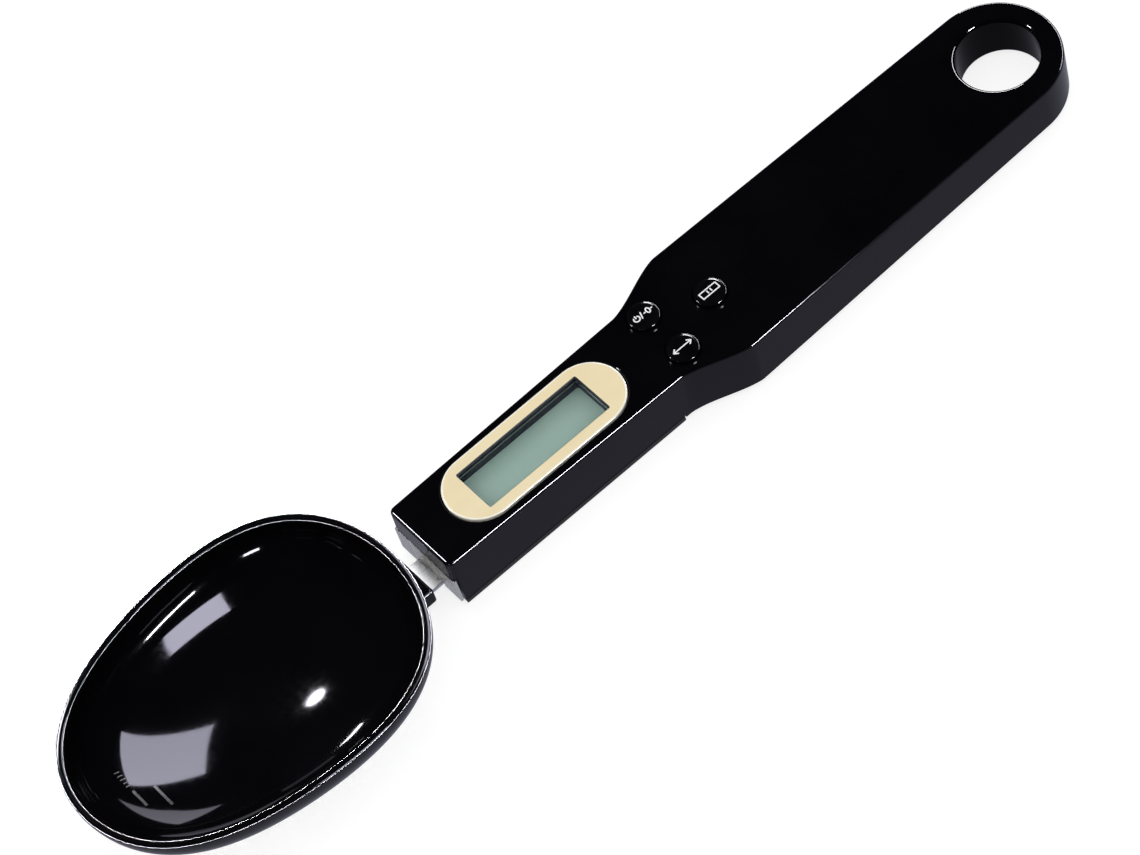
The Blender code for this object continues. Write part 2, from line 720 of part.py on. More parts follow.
def build_battery(steel, black, brass):
    coin = turned("coin_cell", ((0.0, COIN_Z[1]), (8.6, COIN_Z[1]), (8.8, COIN_Z[1] - 0.35),
                                (9.7, COIN_Z[1] - 0.5), (COIN_RADIUS, COIN_Z[1] - 0.8),
                                (COIN_RADIUS, COIN_Z[0] + 0.25), (COIN_RADIUS - 0.25, COIN_Z[0]),
                                (0.0, COIN_Z[0])),
                  centre=(BATTERY_X, 0.0, 0.0), sides=36)
    paint(steel, coin)

    cap = turned("battery_cap", ((0.0, 3.5), (CAP_NECK, 3.5), (CAP_NECK, 1.2), (CAP_RADIUS, 1.2),
                                 (CAP_RADIUS, 0.25), (CAP_RADIUS - 0.25, 0.0), (0.0, 0.0)),
                 sides=40)
    hollow = cylinder("hollow", CAP_NECK - 1.2, 1.3, 5.0, sides=40, collection=cutters)
    cut(cap, hollow)
    lugs = []
    for number in range(CAP_LUGS):
        lug = box("lug", (CAP_NECK - 0.6, -1.9, 2.7), (CAP_RADIUS - 0.1, 1.9, 3.5), cutters)
        lug.rotation_euler.z = 2 * math.pi * number / CAP_LUGS
        lugs.append(lug)
    join(cap, *lugs)
    coin_slot = flat_solid("coin_slot", stadium(-6.0, 6.0, 0.9, sides=8), -1.0, 0.7,
                           collection=cutters)
    cut(cap, coin_slot)
    cap.name = "battery_cap"
    cap.location = (BATTERY_X * MM, 0.0, 0.0)
    paint(black, cap)

    spring = box("battery_contact_negative", (BATTERY_X - 6.0, -2.0, 7.3),
                 (BATTERY_X + 6.0, 2.0, 7.6))
    leg = box("leg", (BATTERY_X - 13.2, -1.2, 7.3), (BATTERY_X - 5.0, 1.2, 7.6), cutters)
    foot = box("foot", (BATTERY_X - 13.2, -1.2, 4.4), (BATTERY_X - 12.8, 1.2, 7.6), cutters)
    join(spring, leg, foot)
    spring.name = "battery_contact_negative"
    paint(brass, spring)

    ring_low = 4.2
    strip = cylinder("battery_contact_positive", COIN_RADIUS + 0.7, ring_low, 6.4,
                     centre=(BATTERY_X, 0.0), sides=40)
    hole = cylinder("hole", COIN_RADIUS + 0.35, 0.0, 9.0, centre=(BATTERY_X, 0.0), sides=40,
                    collection=cutters)
    keep = box("keep", (BATTERY_X - 6.0, 6.0, 0.0), (BATTERY_X + 6.0, 14.0, 9.0), cutters)
    cut(strip, hole)
    combine(strip, [keep], "INTERSECT")
    strip.name = "battery_contact_positive"
    paint(brass, strip)


def build_wires(red, dark, white, green):
    """Four fine leads from the gauges to the board, and two from the battery contacts."""
    board_low = deck_z(10.0) + BOARD_TOP - BOARD_THICK
    leads = (("cell_wire_red", red, 7.0), ("cell_wire_black", dark, 7.55),
             ("cell_wire_white", white, -7.0), ("cell_wire_green", green, -7.55))
    for name, finish, y in leads:
        side = math.copysign(1.0, y)
        lower = abs(y) > 7.2
        track = 7.5 if lower else 6.5
        drop = 1.0 if lower else 0.0
        end = 10.6 if lower else 9.9
        made = wire(name, ((-14.0, side * track, 7.2 - drop), (-8.0, side * track, 6.2 - drop),
                           (2.0, side * track, 5.6 - drop), (7.6, side * track, 6.0 - drop),
                           (end, side * (track - 1.0), board_low - 1.4),
                           (end, side * (track - 1.6), board_low - 0.5)), 0.22)
        paint(finish, made)
    rise = deck_z(40.0) + BOARD_TOP - BOARD_THICK - 0.6
    plus = wire("battery_wire_red", ((52.0, 10.6, 8.2), (48.0, 9.4, 8.0), (44.0, 7.5, 7.2),
                                     (40.0, 6.4, rise), (37.0, 6.0, rise)), 0.45)
    minus = wire("battery_wire_black", ((48.2, -0.2, 5.4), (46.4, -1.6, 6.0), (43.6, -4.0, 6.6),
                                        (40.0, -5.6, rise), (37.0, -6.0, rise)), 0.45)
    paint(red, plus)
    paint(dark, minus)


# ---------------------------------------------------------------- assembly

def build():
    global parts, cutters, deck
    for old in list(bpy.data.objects):
        bpy.data.objects.remove(old)
    parts = new_collection("spoon_scale")
    cutters = new_collection("cutters")
    deck = bpy.data.objects.new("deck", None)
    parts.objects.link(deck)
    deck.location = (0.0, 0.0, deck_z(0.0) * MM)
    deck.rotation_euler.y = math.atan(DECK_SLOPE)
    bpy.context.view_layer.update()

    black = material("black_gloss", (0.012, 0.012, 0.016), 0.12)
    matt_black = material("black_inner", (0.02, 0.02, 0.022), 0.5)
    cream = material("cream_bezel", (0.84, 0.74, 0.48), 0.3)
    clear = material("clear_pane", (0.95, 0.97, 0.97), 0.03, transmission=1.0)
    lcd = material("lcd_grey_green", (0.34, 0.42, 0.38), 0.2)
    rubber = material("contact_rubber", (0.55, 0.32, 0.4), 0.7)
    green = material("board_green", (0.02, 0.2, 0.08), 0.4)
    aluminium = material("aluminium", (0.78, 0.78, 0.8), 0.35, metallic=1.0)
    steel = material("bright_steel", (0.82, 0.82, 0.83), 0.2, metallic=1.0)
    brass = material("contact_brass", (0.8, 0.62, 0.3), 0.3, metallic=1.0)
    grey = material("switch_grey", (0.25, 0.25, 0.26), 0.5)
    white = material("white_plastic", (0.85, 0.85, 0.83), 0.5)
    amber = material("gauge_amber", (0.75, 0.35, 0.08), 0.4)
    red = material("wire_red", (0.6, 0.03, 0.03), 0.45)
    wire_green = material("wire_green", (0.05, 0.35, 0.1), 0.45)

    build_top_casing(black)
    build_bottom_casing(black)
    build_display(cream, clear, lcd, matt_black, rubber)
    build_board(green, matt_black, steel)
    build_keys(black, grey, white)
    build_load_cell(aluminium, amber, white)
    build_arm(steel)
    build_spoon(black)
    build_battery(steel, black, brass)
    build_wires(red, matt_black, white, wire_green)
    for number, (x, y) in enumerate(CASE_SCREWS, 1):
        build_screw(f"casing_screw_{number}", x, y, HEAD_LOW, 8.8, steel)
    for number, x in enumerate(CELL_SCREW_X, 1):
        build_screw(f"cell_screw_{number}", x, 0.0, HEAD_LOW, 6.6, steel)
    for number, x in enumerate(ARM_SCREW_X, 1):
        build_screw(f"arm_screw_{number}", x, 0.0, 1.75, 6.6, steel, head=1.6)
    for number, x in enumerate(SPOON_SCREW_X, 1):
        build_screw(f"spoon_screw_{number}", x, 0.0, 1.25, 4.3, steel, head=1.5)
    hang_on_flexure()


def hang_on_flexure():
    """Parent what the load cell carries to an empty on the axis that it bends about."""
    axis = bpy.data.objects.new("flexure", None)
    parts.objects.link(axis)
    axis.location = (sum(FLEX_X) / 2 * MM, 0.0, sum(CELL_Z) / 2 * MM)
    bpy.context.view_layer.update()
    carried = ["spoon", "spoon_arm", "front_shield", "arm_screw_1", "arm_screw_2",
               "spoon_screw_1", "spoon_screw_2"]
    for name in carried:
        made = bpy.data.objects[name]
        made.parent = axis
        made.matrix_parent_inverse = axis.matrix_world.inverted()


build()
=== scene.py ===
"""The looks of the digital spoon scale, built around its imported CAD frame.

Helpers work in millimetres in the frame's own axes: +X towards the hanging hole, +Y the side of the
on/off key, +Z up, the handle lying on z = 0. MM turns them into metres.
"""
import math

import bmesh
import bpy
from mathutils import Matrix, Vector

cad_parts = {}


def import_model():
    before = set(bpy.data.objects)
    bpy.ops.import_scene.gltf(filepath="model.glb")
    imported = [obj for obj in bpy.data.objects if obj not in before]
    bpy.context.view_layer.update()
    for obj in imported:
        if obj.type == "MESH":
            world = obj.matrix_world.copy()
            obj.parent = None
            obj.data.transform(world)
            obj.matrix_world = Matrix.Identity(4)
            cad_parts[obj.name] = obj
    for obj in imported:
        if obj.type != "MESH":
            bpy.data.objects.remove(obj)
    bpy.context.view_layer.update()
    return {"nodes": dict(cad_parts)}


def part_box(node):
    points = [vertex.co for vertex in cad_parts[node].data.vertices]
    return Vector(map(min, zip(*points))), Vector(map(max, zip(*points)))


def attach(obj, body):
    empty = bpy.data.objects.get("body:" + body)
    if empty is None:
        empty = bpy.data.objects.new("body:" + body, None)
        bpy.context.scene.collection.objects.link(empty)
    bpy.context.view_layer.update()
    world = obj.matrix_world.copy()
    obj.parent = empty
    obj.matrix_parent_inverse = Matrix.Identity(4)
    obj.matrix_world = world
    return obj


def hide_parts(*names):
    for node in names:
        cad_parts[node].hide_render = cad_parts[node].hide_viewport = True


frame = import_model()

MM = 0.001
AXIS_RADIUS = 0.02  # millimetres; keeps the ring at a turned piece's axis open
SHARP_ANGLE = 32.0  # degrees


def span(node):
    """A CAD node's lowest and highest corners in millimetres."""
    low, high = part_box(node)
    return low / MM, high / MM


def middle(node):
    low, high = span(node)
    return (low + high) / 2


# ---------------------------------------------------------------- sizes, in millimetres

SHELL_LOW, SHELL_HIGH = span("top_casing")
PLATE_LOW, PLATE_HIGH = span("bottom_casing")
SPOON_LOW, SPOON_HIGH = span("spoon")

# Handle outline, as in the CAD part
TAPER_START_X = -38.8
NECK_X = 17.0
SHOULDER_X = 30.9
END_RADIUS = 13.4
END_CENTRE_X = 106.1
HALF_FRONT = 8.95
HALF_NECK = 9.8
HALF_SHOULDER = SHELL_HIGH.y
CASING_FRONT_X = SHELL_LOW.x + 0.27
FRONT_CORNER = 1.3
CORNER_STEPS = 6
END_STEPS = 72
FLARE_STEPS = 40

# Top face ("deck"), which falls slightly to the far end
DECK_SLOPE = 0.022
EDGE_RADIUS = 0.8
DECK_ZERO = SHELL_HIGH.z + DECK_SLOPE * (CASING_FRONT_X + 1.0)
WALL = 1.4
ROOF = 1.5
SKIRT_NARROW_Z = 1.7
SKIRT_WIDE_Z = SHELL_LOW.z
STEP_X = 15.5
PLATE = 1.4
GAP = 0.3
# Faces that would lie in one plane are kept this far apart, for the Boolean modifiers
UNION_STEP = 0.02

HOLE_X = 107.0
HOLE_RADIUS = 8.2
HOLE_LIP = 1.2
HOLE_LOWER_LIP = 1.0
COLLAR = 1.5

# Front: a brow above the shield that covers the casing's mouth
SHIELD_LOW, SHIELD_HIGH = span("front_shield")
SHIELD_THICK = 0.55
SHIELD_CORNER = 0.7
PAD_LOW = (-4.0, 3.9)
PAD_HIGH = (4.0, 7.6)
BROW_Z = SHIELD_HIGH.z + GAP
BROW_BACK_X = CASING_FRONT_X + 1.6
REBATE_X = SHIELD_LOW.x + SHIELD_THICK + 0.35
MOUTH_HALF = 7.4

# Display: centres of the bezel's round ends, and the window's ends; heights are in deck axes
BEZEL_X = (-24.2, 2.2)
BEZEL_RADIUS = 7.5
WINDOW_X = (-26.0, 3.4)
WINDOW_HALF = 5.0
BEZEL_PROUD = 0.25
BEZEL_THICK = 0.85
WELL_TOP = -1.9
LCD_TOP = -3.45
LCD_LOW = -4.35

# Keys, which sit in smooth dishes
KEYS = ("on_off", "mode", "hold")
KEY_RADIUS = 3.2
KEY_HOLE = 3.5
KEY_DOME = 0.55
KEY_DROP = 0.55
KEY_FLANGE = 0.4
DISH_DEPTH = 0.38
DISH_WIDTH = 1.15

# Spoon: an egg-shaped rim and superelliptic walls
BOWL_X = -82.35
BOWL_LENGTH = BOWL_X - SPOON_LOW.x
BOWL_WIDTH = 27.7
EGG = (0.118, 0.195)
RIM_Z = SPOON_HIGH.z
RIM_FLAT = 1.5
BOWL_BOTTOM = SPOON_LOW.z
BOWL_WALL = 1.6
BOWL_POWER = 2.25
BOWL_SIDES = 360
EDGE_STEPS = 8

# Battery bay on the underside
BATTERY = middle("battery_cap")
CAP_RADIUS = span("battery_cap")[1].x - BATTERY.x
CAP_NECK = 9.9
BAY_RADIUS = 12.3
BAY_ROOM = 11.5
BAY_THROAT = 10.5

CASE_SCREWS = [f"casing_screw_{number}" for number in (1, 2, 3, 4)]
CELL_SCREWS = ["cell_screw_1", "cell_screw_2"]
SPOON_SCREWS = ["spoon_screw_1", "spoon_screw_2"]
POST_RADIUS = 2.1
PILOT_RADIUS = 1.2
SEAT_RADIUS = 2.35
SHANK_HOLE = 1.25

DECK = Matrix.Translation((0.0, 0.0, DECK_ZERO * MM)) @ Matrix.Rotation(math.atan(DECK_SLOPE), 4, "Y")


# ---------------------------------------------------------------- mesh helpers

def new_object(name, data):
    """A new object with this mesh, light or camera, in the scene."""
    made = bpy.data.objects.new(name, data)
    bpy.context.scene.collection.objects.link(made)
    return made


def mesh_object(name, body):
    """A new object whose mesh is this bmesh, which is freed."""
    mesh = bpy.data.meshes.new(name)
    body.to_mesh(mesh)
    body.free()
    return new_object(name, mesh)


def ring_angles(sides):
    return [2 * math.pi * step / sides for step in range(sides)]


def loft(name, rings):
    """A closed solid through rings of equally many points."""
    body = bmesh.new()
    loops = [[body.verts.new(Vector(point) * MM) for point in ring] for ring in rings]
    count = len(loops[0])
    for ring, following in zip(loops, loops[1:]):
        for i in range(count):
            j = (i + 1) % count
            body.faces.new((ring[i], ring[j], following[j], following[i]))
    body.faces.new(list(reversed(loops[0])))
    body.faces.new(loops[-1])
    bmesh.ops.recalc_face_normals(body, faces=body.faces)
    return mesh_object(name, body)


def slab(name, outline, profile):
    """A plan outline drawn in by each (inset, z) of a profile, listed from one face to the other."""
    return loft(name, [[(x, y, z) for x, y in outline(inset)] for inset, z in profile])


def turned(name, profile, centre=(0.0, 0.0), sides=96):
    """A solid of revolution about a vertical axis from (radius, z) points."""
    rings = []
    for radius, z in profile:
        radius = max(radius, AXIS_RADIUS)
        rings.append([(centre[0] + radius * math.cos(turn), centre[1] + radius * math.sin(turn), z)
                      for turn in ring_angles(sides)])
    return loft(name, rings)


def block(name, low, high):
    return slab(name, lambda inset: ((low[0], low[1]), (high[0], low[1]), (high[0], high[1]),
                                     (low[0], high[1])), ((0.0, low[2]), (0.0, high[2])))


def on_deck(made):
    """Move a piece from deck axes (z = 0 on the top face) to the frame's axes."""
    made.data.transform(DECK)
    return made


def evaluated_mesh(made):
    bpy.context.view_layer.update()
    copy = made.evaluated_get(bpy.context.evaluated_depsgraph_get())
    return bpy.data.meshes.new_from_object(copy)


def combine(made, others, operation):
    for other in others:
        change = made.modifiers.new("Combine", "BOOLEAN")
        change.operation = operation
        change.object = other
        change.solver = "EXACT"
    made.data = evaluated_mesh(made)
    made.modifiers.clear()
    for other in others:
        bpy.data.objects.remove(other)


def cut(made, *others):
    combine(made, others, "DIFFERENCE")


def join(made, *others):
    combine(made, others, "UNION")


def shade(made):
    """Smooth shading that keeps flat faces flat and edges over SHARP_ANGLE sharp."""
    made.data.shade_smooth()
    made.data.set_sharp_from_angle(angle=math.radians(SHARP_ANGLE))
    weigh = made.modifiers.new("Normals", "WEIGHTED_NORMAL")
    weigh.keep_sharp = True
    made.data = evaluated_mesh(made)
    made.modifiers.clear()


def round_over(radius, top, steps=8):
    """(inset, z) points of a quarter-round edge that ends on the face z = top."""
    points = []
    for step in range(steps + 1):
        angle = math.pi / 2 * step / steps
        points.append((radius * (1 - math.cos(angle)), top - radius * (1 - math.sin(angle))))
    return points


def round_under(radius, bottom, steps):
    """(inset, z) points of a quarter-round edge that starts on the face z = bottom."""
    return [(inset, 2 * bottom - z) for inset, z in reversed(round_over(radius, bottom, steps))]


# ---------------------------------------------------------------- outlines

def half_width(x):
    """Half the handle's width at x: narrow front, eased flare, then a slightly tapered grip."""
    if x <= NECK_X:
        share = (x - TAPER_START_X) / (NECK_X - TAPER_START_X)
        return HALF_FRONT + share * (HALF_NECK - HALF_FRONT)
    if x >= SHOULDER_X:
        share = (x - SHOULDER_X) / (END_CENTRE_X - SHOULDER_X)
        return HALF_SHOULDER + share * (END_RADIUS - HALF_SHOULDER)
    share = (x - NECK_X) / (SHOULDER_X - NECK_X)
    eased = 0.5 * share + 0.5 * share * share * (3 - 2 * share)
    return HALF_NECK + eased * (HALF_SHOULDER - HALF_NECK)


def side_point(x, inset):
    """A point of the handle's side, moved inwards square to the side."""
    slope = (half_width(x + 0.6) - half_width(x - 0.6)) / 1.2
    length = math.hypot(1.0, slope)
    return x + inset * slope / length, half_width(x) - inset / length


def handle_outline(inset, front=CASING_FRONT_X, corner=FRONT_CORNER):
    """The handle's plan outline from the front corner round the far end and back."""
    side = []
    corner_y = half_width(front + corner) - corner
    for step in range(CORNER_STEPS + 1):
        angle = math.pi - math.pi / 2 * step / CORNER_STEPS
        reach = max(corner - inset, AXIS_RADIUS)
        side.append((front + corner + reach * math.cos(angle), corner_y + reach * math.sin(angle)))
    flare_start = NECK_X - 4.0
    flare_length = 22.0
    flare = [flare_start + flare_length * step / FLARE_STEPS for step in range(FLARE_STEPS + 1)]
    side += [side_point(x, inset) for x in (-20.0, 0.0, *flare, 60.0, 85.0) if x > front + corner]
    back = [(x, -y) for x, y in reversed(side)]
    for step in range(END_STEPS + 1):
        angle = math.pi / 2 - math.pi * step / END_STEPS
        side.append((END_CENTRE_X + (END_RADIUS - inset) * math.cos(angle),
                     (END_RADIUS - inset) * math.sin(angle)))
    return side + back


def stadium(x_low, x_high, radius, sides=32):
    """An outline with straight sides and round ends, their centres at x_low and x_high."""
    outline = []
    for centre, start in ((x_high, math.pi / 2), (x_low, -math.pi / 2)):
        for step in range(sides + 1):
            angle = start - math.pi * step / sides
            outline.append((centre + radius * math.cos(angle), radius * math.sin(angle)))
    return outline


def rounded_rectangle(x_low, x_high, half, radius, sides=6):
    outline = []
    middle_x = (x_low + x_high) / 2
    for x, y, quarter in ((x_high, half, 0), (x_low, half, 1), (x_low, -half, 2), (x_high, -half, 3)):
        cx = x - math.copysign(radius, x - middle_x)
        cy = y - math.copysign(radius, y)
        for step in range(sides + 1):
            angle = math.pi / 2 * (quarter + step / sides)
            outline.append((cx + radius * math.cos(angle), cy + radius * math.sin(angle)))
    return outline


# ---------------------------------------------------------------- materials

def node_material(name):
    made = bpy.data.materials.new(name)
    made.use_nodes = True
    tree = made.node_tree
    return made, tree, tree.nodes["Principled BSDF"]


def noise(tree, scale, stretch, detail):
    """Noise fixed to the object, stretched along its axes."""
    place = tree.nodes.new("ShaderNodeTexCoord")
    mapping = tree.nodes.new("ShaderNodeMapping")
    mapping.inputs["Scale"].default_value = stretch
    texture = tree.nodes.new("ShaderNodeTexNoise")
    texture.inputs["Scale"].default_value = scale
    texture.inputs["Detail"].default_value = detail
    texture.inputs["Roughness"].default_value = 0.55
    tree.links.new(place.outputs["Object"], mapping.inputs["Vector"])
    tree.links.new(mapping.outputs["Vector"], texture.inputs["Vector"])
    return texture.outputs["Fac"]


def ramp_value(tree, source, low, high, start=0.3, end=0.7):
    """A value that runs from low to high while its source runs from start to end."""
    change = tree.nodes.new("ShaderNodeMapRange")
    change.inputs["From Min"].default_value = start
    change.inputs["From Max"].default_value = end
    change.inputs["To Min"].default_value = low
    change.inputs["To Max"].default_value = high
    tree.links.new(source, change.inputs["Value"])
    return change.outputs["Result"]


def mix_colour(tree, source, dark, light):
    """Two colours mixed by a value from 0 to 1."""
    mix = tree.nodes.new("ShaderNodeMix")
    mix.data_type = "RGBA"
    mix.inputs["A"].default_value = (*dark, 1.0)
    mix.inputs["B"].default_value = (*light, 1.0)
    tree.links.new(source, mix.inputs["Factor"])
    return mix.outputs["Result"]


def finish_of(name, dark, light, rough, cloud=300.0, grain=2500.0, stretch=(1.0, 1.0, 1.0),
              bump=0.002, **sockets):
    """A material whose colour, roughness and bump vary by noise at two scales."""
    made, tree, shader = node_material(name)
    clouds = noise(tree, cloud, stretch, detail=3.0)
    grains = noise(tree, grain, stretch, detail=2.0)
    shade_share = ramp_value(tree, clouds, 0.0, 1.0)
    tree.links.new(mix_colour(tree, shade_share, dark, light), shader.inputs["Base Color"])
    tree.links.new(ramp_value(tree, grains, *rough), shader.inputs["Roughness"])
    relief = tree.nodes.new("ShaderNodeBump")
    relief.inputs["Strength"].default_value = 1.0
    relief.inputs["Distance"].default_value = bump * MM
    tree.links.new(grains, relief.inputs["Height"])
    tree.links.new(relief.outputs["Normal"], shader.inputs["Normal"])
    for socket, value in sockets.items():
        shader.inputs[socket.replace("_", " ")].default_value = value
    return made


def brushed(name, dark, light, rough, axis):
    """Metal with fine lines along one axis."""
    stretch = [1.0, 1.0, 1.0]
    stretch["XYZ".index(axis)] = 0.03
    return finish_of(name, dark, light, rough, cloud=500.0, grain=5000.0, stretch=stretch,
                     bump=0.004, Metallic=1.0)


BLACK_GLOSS = finish_of("black_gloss", (0.0012, 0.0012, 0.0018), (0.0024, 0.0024, 0.0034),
                        (0.045, 0.075), cloud=60.0, grain=900.0, bump=0.0004,
                        Specular_IOR_Level=0.25, Specular_Tint=(0.9, 0.9, 1.0, 1.0))
BLACK_BORE = finish_of("black_bore", (0.0012, 0.0012, 0.0018), (0.0024, 0.0024, 0.0034),
                       (0.14, 0.2), cloud=60.0, grain=900.0, bump=0.0006, Specular_IOR_Level=0.06)
BLACK_SATIN = finish_of("black_satin", (0.006, 0.006, 0.007), (0.011, 0.011, 0.012),
                        (0.22, 0.34), cloud=80.0, grain=6000.0, bump=0.004,
                        Specular_IOR_Level=0.45)
BLACK_INNER = finish_of("black_inner", (0.012, 0.012, 0.014), (0.024, 0.024, 0.027), (0.45, 0.6),
                        grain=4000.0, bump=0.006)
KEY_GLOSS = finish_of("key_gloss", (0.0015, 0.0015, 0.002), (0.003, 0.003, 0.004), (0.08, 0.14),
                      cloud=200.0, grain=3000.0, bump=0.0008, Specular_IOR_Level=0.3)
CREAM = finish_of("cream_plate", (0.82, 0.69, 0.42), (0.88, 0.77, 0.51), (0.28, 0.36), cloud=110.0,
                  grain=4000.0, stretch=(0.4, 1.0, 1.0), bump=0.002)
WELL = finish_of("well_blue_grey", (0.03, 0.034, 0.055), (0.045, 0.05, 0.075), (0.4, 0.5),
                 cloud=400.0, grain=4000.0, bump=0.003, Specular_IOR_Level=0.3)
# The bezel's rolled edge: cream painted paler, a painted highlight
CREAM_EDGE_HIGHLIGHT = finish_of("cream_edge_painted_highlight", (0.95, 0.91, 0.78), (0.97, 0.94, 0.84), (0.2, 0.28),
                       bump=0.002)
LEGEND = finish_of("legend_print", (0.82, 0.82, 0.82), (0.92, 0.92, 0.91), (0.35, 0.5),
                   cloud=1500.0, grain=8000.0, bump=0.003)
LCD = finish_of("lcd_glass_grey_green", (0.38, 0.54, 0.48), (0.42, 0.58, 0.52), (0.12, 0.18),
                cloud=60.0, grain=6000.0, stretch=(0.5, 1.0, 1.0), bump=0.001)
STEEL = brushed("brushed_steel", (0.66, 0.66, 0.67), (0.86, 0.86, 0.87), (0.24, 0.42), "X")
STEEL_UPRIGHT = brushed("brushed_shield", (0.74, 0.74, 0.66), (0.97, 0.97, 0.86), (0.2, 0.34), "Z")
SCREW_STEEL = finish_of("screw_steel", (0.45, 0.45, 0.46), (0.62, 0.62, 0.63), (0.22, 0.36),
                        grain=5000.0, bump=0.003, Metallic=1.0)
ALUMINIUM = brushed("milled_aluminium", (0.62, 0.63, 0.65), (0.8, 0.81, 0.82), (0.3, 0.45), "Y")
BRASS = finish_of("contact_brass", (0.62, 0.45, 0.2), (0.78, 0.6, 0.3), (0.25, 0.4), grain=4000.0,
                  bump=0.002, Metallic=1.0)
BOARD = finish_of("board_green", (0.012, 0.11, 0.045), (0.02, 0.16, 0.065), (0.3, 0.42),
                  cloud=700.0, bump=0.002)
RUBBER = finish_of("contact_rubber", (0.42, 0.25, 0.31), (0.52, 0.33, 0.39), (0.65, 0.8),
                   stretch=(8.0, 1.0, 1.0), bump=0.004)
SWITCH_GREY = finish_of("switch_grey", (0.17, 0.17, 0.18), (0.24, 0.24, 0.25), (0.42, 0.55))
WHITE_PLASTIC = finish_of("white_plastic", (0.74, 0.74, 0.72), (0.84, 0.84, 0.82), (0.4, 0.55))
AMBER = finish_of("gauge_amber", (0.5, 0.2, 0.05), (0.62, 0.28, 0.08), (0.3, 0.45),
                  stretch=(1.0, 6.0, 1.0))
WIRES = {
    "red": finish_of("wire_red", (0.4, 0.012, 0.012), (0.52, 0.02, 0.02), (0.35, 0.5)),
    "black": finish_of("wire_black", (0.01, 0.01, 0.01), (0.02, 0.02, 0.02), (0.35, 0.5)),
    "green": finish_of("wire_green", (0.02, 0.22, 0.06), (0.03, 0.3, 0.09), (0.35, 0.5)),
    "white": finish_of("wire_white", (0.7, 0.7, 0.68), (0.8, 0.8, 0.78), (0.35, 0.5)),
}
CLEAR = finish_of("clear_pane", (0.97, 0.99, 0.98), (1.0, 1.0, 1.0), (0.0, 0.02), cloud=40.0,
                  bump=0.0, Transmission_Weight=1.0, IOR=1.12)


def paint(made, *finishes):
    made.data.materials.clear()
    for finish in finishes:
        made.data.materials.append(finish)


def place(made, body, slot, *nodes):
    """Hand a finished piece to the frame: its body and the nodes it stands for; the slot argument is not
    used.
    """
    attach(made, body)
    if nodes:
        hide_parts(*nodes)


# ---------------------------------------------------------------- upper and lower casing

def dish_profile():
    """The smooth dip round a key, from its hole up to the top face, for a cutter."""
    rim = KEY_HOLE + 0.05
    points = [(0.0, -3.0), (KEY_HOLE, -3.0), (KEY_HOLE, -DISH_DEPTH - 0.04)]
    for step in range(1, 13):
        share = step / 12
        eased = share * share * (3 - 2 * share)
        points.append((rim + DISH_WIDTH * share, -DISH_DEPTH + (DISH_DEPTH + 0.02) * eased))
    return points + [(rim + DISH_WIDTH, 1.0), (0.0, 1.0)]


def lip_arc(lip, steps=14):
    """Radius and distance from the mouth along a quarter-round lip, from the mouth inwards."""
    arc_points = []
    for step in range(steps + 1):
        angle = math.pi / 2 * step / steps
        arc_points.append((HOLE_RADIUS + lip * (1 - math.sin(angle)), lip * (1 - math.cos(angle))))
    return arc_points


def circle(radius, x, z, frame_of=Matrix(), sides=128):
    """A horizontal ring of points about (x, 0) in the axes of a matrix."""
    return [frame_of @ (Vector((x + radius * math.cos(turn), radius * math.sin(turn), z)) * MM) / MM
            for turn in ring_angles(sides)]


def bore_rings():
    """The hanging hole: a lip square to the sloping top face, and a level one at the underside."""
    top_x = (DECK.inverted() @ (Vector((HOLE_X, 0.0, deck_z(HOLE_X))) * MM)).x / MM
    above = UNION_STEP
    wide = HOLE_RADIUS + HOLE_LIP + 0.3
    rings = [circle(wide, top_x, 5.0, DECK), circle(wide, top_x, 0.1, DECK)]
    rings += [circle(radius, top_x, above - drop, DECK) for radius, drop in lip_arc(HOLE_LIP)]
    low = SKIRT_WIDE_Z - above
    rings += [circle(radius, HOLE_X, low + rise) for radius, rise in reversed(lip_arc(HOLE_LOWER_LIP))]
    return rings + [circle(HOLE_RADIUS + HOLE_LOWER_LIP, HOLE_X, -5.0)]


def deck_z(x):
    """Height of the top face at x, in the frame's axes."""
    return DECK_ZERO - DECK_SLOPE * x


def deck_place(node):
    """A node's centre in deck axes, in millimetres."""
    local = DECK.inverted() @ (middle(node) * MM) / MM
    return local.x, local.y


